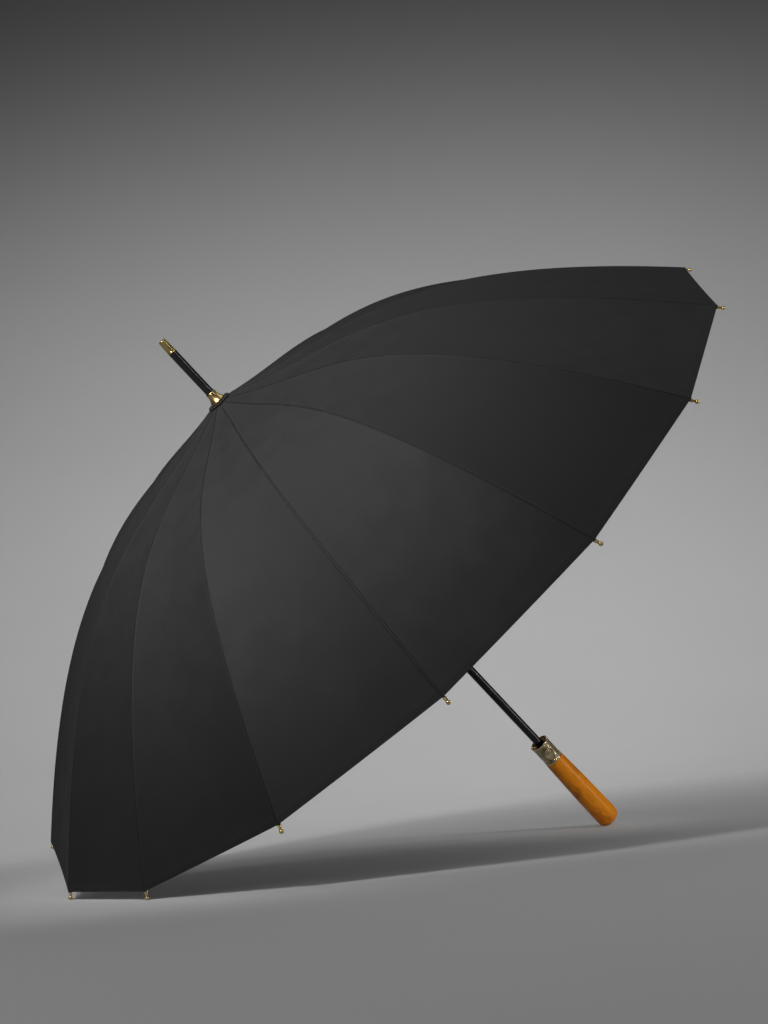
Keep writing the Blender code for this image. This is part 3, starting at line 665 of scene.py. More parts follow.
def lathe(outline, steps):
    """A turned form from its outline (radius, height), which starts or ends on the axis or loops."""
    bm = bmesh.new()
    looped = outline[0] == outline[-1]
    points = outline[:-1] if looped else outline
    rings = []
    for r, z in points:
        if r < 1e-6:
            rings.append([bm.verts.new((0, 0, z))] * steps)
            continue
        turns = [2 * math.pi * i / steps for i in range(steps)]
        rings.append([bm.verts.new((r * math.cos(a), r * math.sin(a), z)) for a in turns])
    pairs = list(zip(rings, rings[1:])) + ([(rings[-1], rings[0])] if looped else [])
    band = bm.loops.layers.uv.new("band")
    for first, second in pairs:
        for i in range(steps):
            j = (i + 1) % steps
            corners = []
            for vert in (first[i], second[i], second[j], first[j]):
                if vert not in corners:
                    corners.append(vert)
            if len(corners) < 3:
                continue
            face = bm.faces.new(corners)
            for loop in face.loops:
                turn = i if loop.vert in (first[i], second[i]) else i + 1
                loop[band].uv = (turn / steps, loop.vert.co.z)
    bmesh.ops.recalc_face_normals(bm, faces=bm.faces)
    return bm


def sweep(stations):
    """A closed bar through its sections; a station is (point, along, up, section)."""
    bm = bmesh.new()
    rings = []
    for point, along, up, section in stations:
        side = up.cross(along).normalized()
        rings.append([bm.verts.new(point + side * x + up * y) for x, y in section])
    count = len(rings[0])
    for first, second in zip(rings, rings[1:]):
        for i in range(count):
            j = (i + 1) % count
            bm.faces.new((first[i], second[i], second[j], first[j]))
    bm.faces.new(rings[0])
    bm.faces.new(rings[-1])
    bmesh.ops.recalc_face_normals(bm, faces=bm.faces)
    return bm


def rounded(outline, radius, steps=3):
    """The outline with its marked corners rounded; a corner is (radius, height, share)."""
    out = []
    count = len(outline)
    for i, (r, z, share) in enumerate(outline):
        if share == 0 or i in (0, count - 1):
            out.append((r, z))
            continue
        here = Vector((r, z))
        before = Vector(outline[i - 1][:2]) - here
        after = Vector(outline[i + 1][:2]) - here
        size = min(radius * share, before.length * 0.45, after.length * 0.45)
        start, end = here + before.normalized() * size, here + after.normalized() * size
        for k in range(steps + 1):
            t = k / steps
            point = start * (1 - t) ** 2 + here * 2 * t * (1 - t) + end * t * t
            out.append((point.x, point.y))
    return out


def ring_wire(radius, wire, height, steps=96):
    """A closed ring of round wire about the shaft."""
    bm = bmesh.new()
    rings = []
    for i in range(steps):
        turn = 2 * math.pi * i / steps
        ring = []
        for k in range(8):
            a = 2 * math.pi * k / 8
            r = radius + wire * math.cos(a)
            ring.append(bm.verts.new((r * math.cos(turn), r * math.sin(turn), height + wire * math.sin(a))))
        rings.append(ring)
    for i in range(steps):
        first, second = rings[i], rings[(i + 1) % steps]
        for k in range(8):
            j = (k + 1) % 8
            bm.faces.new((first[k], second[k], second[j], first[j]))
    bmesh.ops.recalc_face_normals(bm, faces=bm.faces)
    return bm


def piece(name, bm, matrix, look, body, stands_for=(), sharp=35):
    """Puts a finished form in the scene, in its material, riding on its body."""
    mesh = bpy.data.meshes.new(name)
    bm.to_mesh(mesh)
    bm.free()
    mesh.shade_smooth()
    mesh.set_sharp_from_angle(angle=math.radians(sharp))
    mesh.materials.append(look)
    own = mesh.attributes.new("own_place", "FLOAT_VECTOR", "POINT")
    for i, vert in enumerate(mesh.vertices):
        own.data[i].vector = vert.co
    mesh.transform(matrix)
    made = bpy.data.objects.new(name, mesh)
    bpy.context.scene.collection.objects.link(made)
    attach(made, body)
    if stands_for:
        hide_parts(*stands_for)
    return made


def carved(bm, cutter):
    """The form with the cutter's shape taken out of it."""
    made = []
    for part in (bm, cutter):
        mesh = bpy.data.meshes.new("carving")
        part.to_mesh(mesh)
        part.free()
        made.append(bpy.data.objects.new("carving", mesh))
        bpy.context.scene.collection.objects.link(made[-1])
    target, tool = made
    cut = target.modifiers.new("cut", "BOOLEAN")
    cut.operation = "DIFFERENCE"
    cut.solver = "EXACT"
    cut.object = tool
    bpy.context.view_layer.update()
    graph = bpy.context.evaluated_depsgraph_get()
    out = bmesh.new()
    out.from_mesh(target.evaluated_get(graph).to_mesh())
    for thing in made:
        bpy.data.objects.remove(thing)
    return out


def dress(node, look):
    """Gives a node of the frame its finish in place of the plain one."""
    data = frame["nodes"][node].data
    data.materials.clear()
    data.materials.append(look)


# ---------------------------------------------------------------- canopy


def gore_surface(arc, share, side, sag):
    """A point of a gore, at a share of the way from its rib to its middle line."""
    t = seam_at(arc)
    point, normal = seam_point(t)
    middle = STEP / 2
    f = share / 2
    far = Vector((math.cos(STEP), math.sin(STEP), 0))
    near = Vector((1, 0, 0))
    plan = near.lerp(far, f) * point.x
    inward = Vector((math.cos(middle) * normal.x, math.sin(middle) * normal.x, normal.y)).normalized()
    width = 2 * point.x * math.sin(middle)
    slack = sag * min(1.0, width / 0.12) * (1.0 - 0.72 * (arc / SEAM_LENGTH) ** 6)
    drop = slack * 4 * f * (1 - f)
    place = Vector((plan.x, plan.y, point.y)) - inward * drop
    return Vector((place.x, side * place.y, place.z)), Vector((inward.x, side * inward.y, inward.z))


def half_gore(side, sag, hem, thick, number):
    """Half of one gore, from its rib to its middle line, with its turned hem, as a thin closed sheet."""
    start, rows = 0.0040, 46
    arcs = [start + (SEAM_LENGTH - hem - start) * i / rows for i in range(rows + 1)]
    lift = [0.0] * (rows + 1)
    arcs += [SEAM_LENGTH - hem + 0.0006 + (hem - 0.0006) * i / 4 for i in range(5)]
    lift += [0.00016, 0.00020, 0.00020, 0.00020, 0.00010]
    shares = [math.sin(math.pi / 2 * i / 10) for i in range(11)]
    bm = bmesh.new()
    cloth = bm.loops.layers.uv.new("cloth")
    gore = bm.loops.layers.uv.new("gore")
    skins, where = ([], []), {}
    for arc, raised in zip(arcs, lift):
        reach = seam_point(seam_at(arc))[0].x * math.sin(STEP / 2)
        outer, inner = [], []
        for share in shares:
            place, out = gore_surface(arc, share, side, sag)
            for row, depth in ((outer, raised), (inner, -thick)):
                vert = bm.verts.new(place + out * depth)
                across = share * reach
                where[vert] = (across, arc), (side * (across - reach) + 0.2, arc + 0.61 * number)
                row.append(vert)
        skins[0].append(outer)
        skins[1].append(inner)
    for grid in skins:
        for first, second in zip(grid, grid[1:]):
            for i in range(len(shares) - 1):
                bm.faces.new((first[i], second[i], second[i + 1], first[i + 1]))
    outer, inner = skins
    edges = [[row[k] for row in grid] for k in (0, -1) for grid in skins]
    rims = [(edges[0], edges[1]), (edges[2], edges[3]), (outer[0], inner[0]), (outer[-1], inner[-1])]
    for over, under in rims:
        for i in range(len(over) - 1):
            bm.faces.new((over[i], over[i + 1], under[i + 1], under[i]))
    for face in bm.faces:
        for loop in face.loops:
            loop[cloth].uv, loop[gore].uv = where[loop.vert]
    bmesh.ops.recalc_face_normals(bm, faces=bm.faces)
    return bm


def seam_band(width):
    """The felled seam over one rib, from the crown to the hem."""
    bm = bmesh.new()
    cloth = bm.loops.layers.uv.new("cloth")
    half = width / 2
    dip = math.tan(STEP / 2)
    profile = [(-1.0, -0.00012), (-0.75, 0.00022), (0.0, 0.00036), (0.75, 0.00022), (1.0, -0.00012)]
    count = 90
    rows, where = [], {}
    for i in range(count + 1):
        arc = 0.0040 + (SEAM_LENGTH + 0.0006 - 0.0040) * i / count
        point, _, normal = rib_point(arc, 0.0)
        narrow = min(1.0, 0.35 + point.x / 0.045)
        row = []
        for share, rise in profile:
            x = half * share * narrow
            fall = abs(x) * dip
            vert = bm.verts.new(
                (point.x + normal.x * rise - fall, x, point.y + normal.y * rise)
            )
            where[vert] = (x, arc)
            row.append(vert)
        rows.append(row)
    for first, second in zip(rows, rows[1:]):
        for i in range(len(profile) - 1):
            face = bm.faces.new((first[i], first[i + 1], second[i + 1], second[i]))
            for loop in face.loops:
                loop[cloth].uv = where[loop.vert]
    bmesh.ops.recalc_face_normals(bm, faces=bm.faces)
    bm.normal_update()
    if sum(face.normal.z for face in bm.faces) < 0:
        bmesh.ops.reverse_faces(bm, faces=bm.faces)
    return bm


class UMBRELLA_OT_canopy(bpy.types.Operator):
    """Sew the canopy: two half gores on each rib, meeting along the gores' middle lines, and the seams"""

    bl_idname = "umbrella.canopy"
    bl_label = "Canopy"

    def execute(self, context):
        sizes = context.scene.umbrella_sizes
        cloth = kept("canopy cloth", cloth_material)
        band = kept("seam cloth", seam_material)
        for i, n in enumerate(RIBS):
            matrix = about_shaft(rib_azimuth(i))
            for side, label in ((1, "near"), (-1, "far")):
                number = i if side == 1 else (i - 1) % RIB_COUNT
                bm = half_gore(side, sizes.sag, sizes.hem, sizes.cloth, number)
                stands = ("gore_" + n,) if side == 1 else ()
                half = piece(f"gore_{label}_{n}", bm, matrix, cloth, "panel_" + n, stands)
                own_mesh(half)
            piece(f"seam_{n}", seam_band(sizes.seam), matrix, band, "panel_" + n)
        return {"FINISHED"}


# ---------------------------------------------------------------- ribs and stretchers


def channel(wide, high, wall):
    """The section of a channel that is open underneath, its middle at the origin."""
    x, y = wide / 2, high / 2
    soft = wall * 0.6
    return [
        (-x, -y),
        (-x, y - soft),
        (-x + soft, y),
        (x - soft, y),
        (x, y - soft),
        (x, -y),
        (x - wall, -y),
        (x - wall, y - wall),
        (-x + wall, y - wall),
        (-x + wall, -y),
    ]


def rib_channel():
    """One rib of pressed channel, flattened to a tongue at its hinge."""
    stations = []
    arcs = [0.0, 0.003, 0.0062, 0.0085]
    arcs += [0.0085 + (SEAM_LENGTH + 0.0016 - 0.0085) * i / 60 for i in range(1, 61)]
    for arc in arcs:
        point, along, normal = rib_point(arc)
        wide = 0.0016 if arc < 0.0065 else RIB_WIDE
        wall = 0.0005 if arc >= 0.0065 else 0.00045
        place = Vector((point.x, 0, point.y))
        section = channel(wide, RIB_HIGH, wall)
        stations.append((place, Vector((along.x, 0, along.y)), Vector((normal.x, 0, normal.y)), section))
    return sweep(stations)


def flat_plate(corners, thick):
    """A plate in the XZ plane from its corners (x, z), its thickness along Y."""
    bm = bmesh.new()
    front = [bm.verts.new((x, -thick / 2, z)) for x, z in corners]
    back = [bm.verts.new((x, thick / 2, z)) for x, z in corners]
    bm.faces.new(front)
    bm.faces.new(list(reversed(back)))
    for i in range(len(corners)):
        j = (i + 1) % len(corners)
        bm.faces.new((front[i], front[j], back[j], back[i]))
    bmesh.ops.recalc_face_normals(bm, faces=bm.faces)
    return bm


def bracket_lug():
    """The lug that hangs under a rib and carries the stretcher's rivet, in the rib's plane."""
    at, along, normal = rib_point(BRACKET_ARC)
    pivot = at - normal * LUG_DROP
    corners = []
    for x, y in ((-0.0058, 0.0006), (-0.0050, -0.0010), (-0.0022, -0.0032)):
        corners.append(at + along * x + normal * y)
    for k in range(9):
        turn = math.radians(200 + 140 * k / 8)
        corners.append(pivot + (along * math.cos(turn) + normal * math.sin(turn)) * 0.0016)
    for x, y in ((0.0022, -0.0032), (0.0050, -0.0010), (0.0058, 0.0006)):
        corners.append(at + along * x + normal * y)
    return flat_plate([(p.x, p.y) for p in corners], 0.0013), pivot


def saddle():
    """The clip round a rib at its bracket."""
    stations = []
    for x, grow in ((-0.0064, 0.00015), (-0.0060, 0.0004), (0.0060, 0.0004), (0.0064, 0.00015)):
        at, along, normal = rib_point(BRACKET_ARC + x)
        section = channel(RIB_WIDE + 2 * grow, RIB_HIGH + grow, 0.0004 + grow)
        up = Vector((normal.x, 0, normal.y))
        place = Vector((at.x, 0, at.y)) - up * 0.0002
        stations.append((place, Vector((along.x, 0, along.y)), up, section))
    return sweep(stations)


def rivet(length, radius):
    """A domed rivet along Y, its middle at the origin."""
    half = length / 2
    crown, shoulder, neck = radius * 0.45, radius * 0.3, radius * 0.6
    outline = [(0, half + crown), (radius * 0.75, half + shoulder), (radius, half), (neck, half)]
    outline += [(neck, -half), (radius, -half), (radius * 0.75, -half - shoulder), (0, -half - crown)]
    bm = lathe(outline, 16)
    bmesh.ops.rotate(bm, verts=bm.verts, matrix=Matrix.Rotation(math.pi / 2, 3, "X"))
    return bm


def rib_tip():
    """A turned brass tip about its own axis, +Z outwards, its cap starting at zero."""
    r = TIP_RADIUS
    outline = [(0, 0), (r * 0.80, 0), (r * 0.86, 0.0004), (r * 0.78, 0.0012), (r * 0.70, 0.0022)]
    centre = TIP_LENGTH - r
    outline.append((r * 0.66, centre - r * 0.95))
    for k in range(9):
        turn = math.radians(-52 + 142 * k / 8)
        outline.append((r * math.cos(turn) if k < 8 else 0.0, centre + r * math.sin(turn)))
    return lathe(outline, 28)


def stretcher_bar(length):
    """A channel bar from the runner's eye at the origin to the fork, along +X."""
    stations = []
    up, along = Vector((0, 0, 1)), Vector((1, 0, 0))
    for x, wide, high in (
        (-0.0014, 0.0012, 0.0012),
        (-0.0008, 0.0017, 0.0020),
        (0.0088, 0.0017, 0.0022),
        (0.0120, 0.0032, 0.0022),
        (0.0600, 0.0034, 0.0022),
        (length * 0.5, 0.0034, 0.0022),
        (length - 0.0600, 0.0034, 0.0022),
        (length - 0.0140, 0.0034, 0.0022),
        (length - 0.0110, 0.0034, 0.0022),
    ):
        wall = 0.0005 if wide > 0.002 else wide * 0.3
        stations.append((Vector((x, 0, 0)), along, up, channel(wide, high, wall)))
    return sweep(stations)


def prong(length, side):
    """One cheek of the fork at a stretcher's outer end."""
    corners = []
    for k in range(9):
        turn = math.radians(-90 + 180 * k / 8)
        corners.append((length + 0.0015 * math.cos(turn), 0.0015 * math.sin(turn)))
    near, far = length - 0.0060, length - 0.0150
    corners += [(near, 0.0011), (far, 0.0009), (far, -0.0009), (near, -0.0011)]
    bm = flat_plate(corners, 0.0007)
    bmesh.ops.translate(bm, verts=bm.verts, vec=(0, side * 0.00145, 0))
    return bm


class UMBRELLA_OT_ribs(bpy.types.Operator):
    """Press the ribs, their brackets and their brass tips"""

    bl_idname = "umbrella.ribs"
    bl_label = "Ribs and tips"

    def execute(self, context):
        paint = kept("black enamel", paint_material)
        brass = kept("polished brass", brass_material)
        steel = kept("spring steel", steel_material)
        end, along, _ = rib_point(SEAM_LENGTH + 0.0003)
        lean = Matrix.Rotation(math.atan2(along.x, along.y), 4, "Y")
        for i, n in enumerate(RIBS):
            matrix = about_shaft(rib_azimuth(i))
            body = "panel_" + n
            lug, pivot = bracket_lug()
            piece("rib_channel_" + n, rib_channel(), matrix, paint, body, ("rib_" + n,))
            piece("bracket_" + n, lug, matrix, paint, body)
            piece("saddle_" + n, saddle(), matrix, paint, body)
            at = matrix @ Matrix.Translation((pivot.x, 0, pivot.y))
            piece("rivet_" + n, rivet(0.0042, 0.0010), at, steel, body)
            at = matrix @ Matrix.Translation((end.x, 0, end.y)) @ lean
            piece("tip_" + n, rib_tip(), at, brass, body)
        return {"FINISHED"}


class UMBRELLA_OT_stretchers(bpy.types.Operator):
    """Press the stretchers, each with an eye at the runner and a fork at its rib"""

    bl_idname = "umbrella.stretchers"
    bl_label = "Stretchers"

    def execute(self, context):
        paint = kept("black enamel", paint_material)
        hinge = rib_point(0.0)[0]
        at, _, normal = rib_point(BRACKET_ARC)
        pivot = at - normal * LUG_DROP
        eye = Vector((RUNNER_PIVOT.x, hinge.y - 0.202))
        reach = pivot - eye
        lift = Matrix.Rotation(-math.atan2(reach.y, reach.x), 4, "Y")
        for i, n in enumerate(RIBS):
            matrix = about_shaft(rib_azimuth(i)) @ Matrix.Translation((eye.x, 0, eye.y)) @ lift
            body, slot = "stay_" + n, "stretcher_steel"
            bar = stretcher_bar(reach.length)
            piece("stretcher_bar_" + n, bar, matrix, paint, body, ("stretcher_" + n,))
            for k, side in (("a", -1), ("b", 1)):
                piece(f"fork_{k}_{n}", prong(reach.length, side), matrix, paint, body)
        return {"FINISHED"}


# ---------------------------------------------------------------- crown


def rosette_disc():
    """A pleated cloth rosette with sixteen scallops and a full, rolled edge, lying on the crown's slope."""
    bm = bmesh.new()
    cloth = bm.loops.layers.uv.new("cloth")
    start, normal = seam_point(0)
    slope = -normal.x / normal.y
    steps, rings = 192, []
    for i in range(steps):
        turn = 2 * math.pi * i / steps
        lobe = abs(math.cos(RIB_COUNT / 2 * turn)) ** 0.6
        pleat = math.cos(RIB_COUNT * turn)
        edge = 0.0146 + 0.0013 * lobe
        middle, deep = edge - 0.0017, 0.0011 + 0.00025 * pleat
        section = [(0.0060, 0.0), (0.0100, 0.0), (middle - 0.0010, -0.0001)]
        for k in range(9):
            roll = -math.pi / 2 + math.pi * k / 8
            section.append((middle + 0.0017 * math.cos(roll), deep + deep * math.sin(roll)))
        section += [(0.0112, 0.0010 + 0.0003 * pleat), (0.0098, 0.0008), (0.0060, 0.0008)]
        ring = []
        for radius, rise in section:
            height = start.y + slope * (radius - start.x) + 0.0003 + rise
            ring.append(bm.verts.new((radius * math.cos(turn), radius * math.sin(turn), height)))
        rings.append(ring)
    count = len(rings[0])
    for i in range(steps):
        first, second = rings[i], rings[(i + 1) % steps]
        for k in range(count):
            j = (k + 1) % count
            face = bm.faces.new((first[k], second[k], second[j], first[j]))
            for loop in face.loops:
                loop[cloth].uv = (loop.vert.co.x + 0.05, loop.vert.co.y + 0.1)
    bmesh.ops.recalc_face_normals(bm, faces=bm.faces)
    return bm


def bell_outline():
    start, normal = seam_point(0)
    slope = -normal.x / normal.y
    base = start.y + slope * (0.0058 - start.x) + 0.0003 + 0.0008 + 0.0003
    rim = base + slope * (0.0099 - 0.0058)
    top = CANOPY_RISE + 0.0146
    points = [(0.0058, base, 0), (0.0058, top, 0), (0.0063, top, 0), (0.0067, top - 0.0004, 1)]
    points += [(0.0067, top - 0.0012, 1), (0.0062, top - 0.0016, 0)]
    for k in range(1, 12):
        share = k / 12
        radius = 0.0063 + (0.0092 - 0.0063) * share**2.1
        points.append((radius, top - 0.0016 + (rim + 0.0024 - top + 0.0016) * share, 0))
    points += [(0.0092, rim + 0.0024, 0), (0.0099, rim + 0.0019, 1), (0.0100, rim + 0.0008, 1)]
    points += [(0.0097, rim, 1), (0.0058, base, 0)]
    return rounded(points, 0.0004)


class UMBRELLA_OT_crown(bpy.types.Operator):
    """Turn the bell and the ferrule cap, and set the rosette, the notch and its wire"""

    bl_idname = "umbrella.crown"
    bl_label = "Crown"

    def execute(self, context):
        brass = kept("polished brass", brass_material)
        cloth = kept("seam cloth", seam_material)
        steel = kept("spring steel", steel_material)
        wire = context.scene.umbrella_sizes.wire
        piece("bell", lathe(bell_outline(), 72), LIE, brass, "frame", ("crown_bell",))
        piece("pleated_rosette", rosette_disc(), LIE, cloth, "frame", ("rosette",))
        outline = [(0, SPIKE_END, 0), (0.0041, SPIKE_END, 0), (0.0046, SPIKE_END - 0.0003, 1)]
        outline += [(0.0047, SPIKE_END - 0.0012, 1), (0.0054, TUBE_TOP + 0.0030, 0)]
        outline += [(0.0050, TUBE_TOP + 0.0026, 1), (0.0050, TUBE_TOP + 0.0022, 1)]
        outline += [(0.00555, TUBE_TOP + 0.0018, 1), (0.00555, TUBE_TOP + 0.0002, 1), (0.0052, TUBE_TOP, 0)]
        outline += [(0.0042, TUBE_TOP, 0), (0.0042, TUBE_TOP - 0.007, 0), (0, TUBE_TOP - 0.007, 0)]
        cap = lathe(rounded(outline, 0.0003), 64)
        piece("spike_cap", cap, LIE, brass, "frame", ("ferrule_cap",))
        dress("top_notch", kept("moulded black plastic", plastic_material))
        hinge = rib_point(0.0)[0]
        piece("notch_wire", ring_wire(hinge.x, wire, hinge.y), LIE, steel, "frame")
        return {"FINISHED"}


# ---------------------------------------------------------------- shaft, runner, collar and grip


class UMBRELLA_OT_shaft(bpy.types.Operator):
    """Draw the shaft tube, with the slot that the runner's pin slides in"""

    bl_idname = "umbrella.shaft"
    bl_label = "Shaft"

    def execute(self, context):
        inner = 0.0046
        outline = [(inner, TUBE_BOTTOM), (inner, TUBE_TOP)]
        outline += [(0.00525, TUBE_TOP), (TUBE_RADIUS, TUBE_TOP - 0.0003)]
        count = 40
        span = TUBE_TOP - 0.0003 - TUBE_BOTTOM
        for i in range(1, count + 1):
            outline.append((TUBE_RADIUS, TUBE_TOP - 0.0003 - span * i / count))
        outline.append((0.0046, TUBE_BOTTOM))
        paint = kept("black enamel", paint_material)
        travel = -JOINTS["runner_slide"]["range_m"][0]
        pin = rib_point(0.0)[0].y - 0.202 - 0.030
        low, high = pin - travel - 0.003, pin + 0.003
        bm = bmesh.new()
        size = Matrix.Diagonal((0.0046, 0.0026, high - low, 1))
        middle = Matrix.Translation((TUBE_RADIUS, 0, (low + high) / 2))
        bmesh.ops.create_cube(bm, size=1, matrix=middle @ size)
        tube = carved(lathe(outline, 64), bm)
        piece("drawn_tube", tube, LIE, paint, "frame", ("shaft_tube",))
        steel = kept("spring steel", steel_material)
        foot, head = TUBE_BOTTOM + 0.0003, pin - 0.0043
        wound = coil(0.0037, 0.0006, 26, foot, head)
        spring = piece("long_spring", wound, LIE, steel, "frame", ("opening_spring",))
        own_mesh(spring)
        return {"FINISHED"}


class UMBRELLA_OT_runner(bpy.types.Operator):
    """Finish the runner and its drive pin, and wire the stretchers' eyes"""

    bl_idname = "umbrella.runner"
    bl_label = "Runner"

    def execute(self, context):
        steel = kept("spring steel", steel_material)
        dress("runner", kept("moulded black plastic", plastic_material))
        dress("drive_pin", steel)
        wire = context.scene.umbrella_sizes.wire
        height = rib_point(0.0)[0].y - 0.202
        piece("runner_wire", ring_wire(RUNNER_PIVOT.x, wire, height), LIE, steel, "runner")
        return {"FINISHED"}


def collar_outline():
    low, high = GRIP_TOP, COLLAR_TOP
    r, bead = COLLAR_RADIUS, COLLAR_RADIUS - 0.0006
    points = [(0.0058, high - 0.006, 0), (0.0102, high - 0.006, 0), (0.0112, high - 0.005, 1)]
    points += [(0.0114, high - 0.0004, 0), (0.0119, high, 1), (r - 0.0003, high, 1), (r, high - 0.0004, 1)]
    points += [(r, high - 0.0024, 1), (bead - 0.0001, high - 0.0028, 1), (bead - 0.0001, high - 0.0034, 1)]
    points += [(bead + 0.0002, high - 0.0036, 1), (bead + 0.0002, high - 0.0044, 1), (bead, high - 0.0047, 0)]
    count = 14
    for i in range(count + 1):
        points.append((bead, high - 0.0050 + (low + 0.0050 - high + 0.0050) * i / count, 0))
    points += [(bead + 0.0002, low + 0.0044, 1), (bead + 0.0002, low + 0.0036, 1)]
    points += [(bead - 0.0001, low + 0.0034, 1), (bead - 0.0001, low + 0.0028, 1)]
    points += [(r, low + 0.0024, 1), (r, low + 0.0006, 1), (r - 0.0006, low, 1), (0.0058, low, 0)]
    points.append(points[0])
    return rounded(points, 0.0003)


def on_collar(turn, long, wide, radius):
    """A point of an oval drawn on the collar's side, about the middle of the button."""
    off = wide / 2 * math.sin(turn)
    return Vector((math.sqrt(max(radius * radius - off * off, 0.0)), off, long / 2 * math.cos(turn)))


def oval_ring(long, wide, radius, wire):
    """A raised oval moulding round the button, bent to the collar."""
    bm = bmesh.new()
    steps, rings = 72, []
    for i in range(steps):
        turn = 2 * math.pi * i / steps
        at = on_collar(turn, long, wide, radius)
        ahead = on_collar(turn + 0.01, long, wide, radius) - on_collar(turn - 0.01, long, wide, radius)
        out = Vector((at.x, at.y, 0)).normalized()
        side = ahead.cross(out).normalized()
        ring = []
        for k in range(8):
            a = 2 * math.pi * k / 8
            ring.append(bm.verts.new(at + side * wire * math.cos(a) + out * wire * math.sin(a)))
        rings.append(ring)
    for i in range(steps):
        first, second = rings[i], rings[(i + 1) % steps]
        for k in range(8):
            j = (k + 1) % 8
            bm.faces.new((first[k], second[k], second[j], first[j]))
    bmesh.ops.recalc_face_normals(bm, faces=bm.faces)
    return bm


def button_form(long, wide, back, face):
    """An oval button with a soft edge and a slightly domed face, along +X."""
    bm = bmesh.new()
    steps = 64
    levels = [(1.0, back), (1.0, face - 0.0007), (0.97, face - 0.00035), (0.90, face - 0.0001)]
    levels += [(0.80, face), (0.55, face - 0.00002), (0.0, face - 0.00002)]
    rings = []
    for share, x in levels:
        if share == 0:
            rings.append([bm.verts.new((x, 0, 0))] * steps)
            continue
        turns = [2 * math.pi * i / steps for i in range(steps)]
        across, up = wide / 2 * share, long / 2 * share
        rings.append([bm.verts.new((x, across * math.sin(a), up * math.cos(a))) for a in turns])
    for first, second in zip(rings, rings[1:]):
        for i in range(steps):
            j = (i + 1) % steps
            corners = []
            for vert in (first[i], second[i], second[j], first[j]):
                if vert not in corners:
                    corners.append(vert)
            bm.faces.new(corners)
    bm.faces.new(rings[0])
    bmesh.ops.recalc_face_normals(bm, faces=bm.faces)
    return bm


class UMBRELLA_OT_collar(bpy.types.Operator):
    """Turn and engrave the collar, and fit its button"""

    bl_idname = "umbrella.collar"
    bl_label = "Collar and button"

    def execute(self, context):
        engraved = kept("engraved brass", engraved_material)
        antique = kept("antique brass", antique_material)
        middle = (GRIP_TOP + COLLAR_TOP) / 2
        bm = lathe([(r, z - middle) for r, z in collar_outline()], 96)
        at = about_shaft(BUTTON_AZIMUTH, middle)
        bm = carved(bm, button_form(BUTTON_LONG + 0.0008, BUTTON_WIDE + 0.0008, 0.0040, 0.0165))
        piece("turned_collar", bm, at, engraved, "frame", ("collar",))
        face = COLLAR_RADIUS + 0.0009
        button = button_form(BUTTON_LONG, BUTTON_WIDE, face - 0.0036, face)
        piece("oval_button", button, at, antique, "button", ("release_button",))
        inside, back = TUBE_RADIUS + 0.0003, face - 0.0039
        outward = at @ Matrix.Rotation(math.pi / 2, 4, "Y")
        steel = kept("spring steel", steel_material)
        wound = coil(0.0024, 0.0003, 3, inside, back)
        spring = piece("wound_spring", wound, outward, steel, "frame", ("button_spring",))
        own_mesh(spring)
        # The dark wire ring round the button is painted shade and tarnish, standing in for a groove.
        groove = kept("tarnished groove", groove_tarnish_and_shade_material)
        ring = oval_ring(BUTTON_LONG + 0.0024, BUTTON_WIDE + 0.0024, COLLAR_RADIUS - 0.0005, 0.0005)
        piece("button_moulding", ring, at, antique, "frame")
        line = oval_ring(BUTTON_LONG + 0.0039, BUTTON_WIDE + 0.0039, COLLAR_RADIUS - 0.00065, 0.0004)
        piece("button_groove", line, at, groove, "frame")
        return {"FINISHED"}


def grip_outline():
    top, end = GRIP_TOP - 0.0003, GRIP_END
    thin, thick, dome = 0.01325, 0.0155, 0.0120
    well = TUBE_BOTTOM - 0.0003
    bore = 0.0058
    points = [(0, well, 0), (bore, well, 0), (bore, top, 0)]
    points += [(thin - 0.0006, top, 0), (thin, top - 0.0007, 1)]
    belly = end + dome
    for i in range(1, 25):
        share = i / 24
        radius = thin + (thick - thin) * math.sin(share * math.pi / 2)
        points.append((radius, top + (belly - top) * share, 0))
    for i in range(1, 17):
        turn = i / 16 * math.pi / 2
        radius = thick * math.cos(turn) ** 0.8 if i < 16 else 0.0
        points.append((radius, belly - dome * math.sin(turn), 0))
    return rounded(points, 0.0006)


class UMBRELLA_OT_grip(bpy.types.Operator):
    """Turn the wooden grip"""

    bl_idname = "umbrella.grip"
    bl_label = "Grip"

    def execute(self, context):
        wood = kept("varnished wood", wood_material)
        middle = (GRIP_TOP + GRIP_END) / 2
        bm = lathe([(r, z - middle) for r, z in grip_outline()], 96)
        at = about_shaft(BUTTON_AZIMUTH, middle)
        piece("turned_grip", bm, at, wood, "frame", ("handle_grip",))
        return {"FINISHED"}


# ---------------------------------------------------------------- stage


def spot_light(name, place, target, cone, soft, power):
    """A soft spot at a place, aimed at a target, with its cone in degrees."""
    data = bpy.data.lights.new(name, "SPOT")
    data.energy = power
    data.shadow_soft_size = soft
    data.spot_size, data.spot_blend = math.radians(cone), 1.0
    lamp = bpy.data.objects.new(name, data)
    bpy.context.scene.collection.objects.link(lamp)
    lamp.location = place
    lamp.visible_camera = False
    lamp.rotation_euler = (Vector(target) - Vector(place)).to_track_quat("-Z", "Y").to_euler()
    return lamp


def area_light(name, place, target, size, power, colour=(1, 1, 1)):
    data = bpy.data.lights.new(name, "AREA")
    data.shape = "RECTANGLE"
    data.size, data.size_y = size
    data.energy = power
    data.color = colour
    lamp = bpy.data.objects.new(name, data)
    bpy.context.scene.collection.objects.link(lamp)
    lamp.location = place
    lamp.visible_camera = False
    lamp.rotation_euler = (Vector(target) - Vector(place)).to_track_quat("-Z", "Y").to_euler()
    return lamp


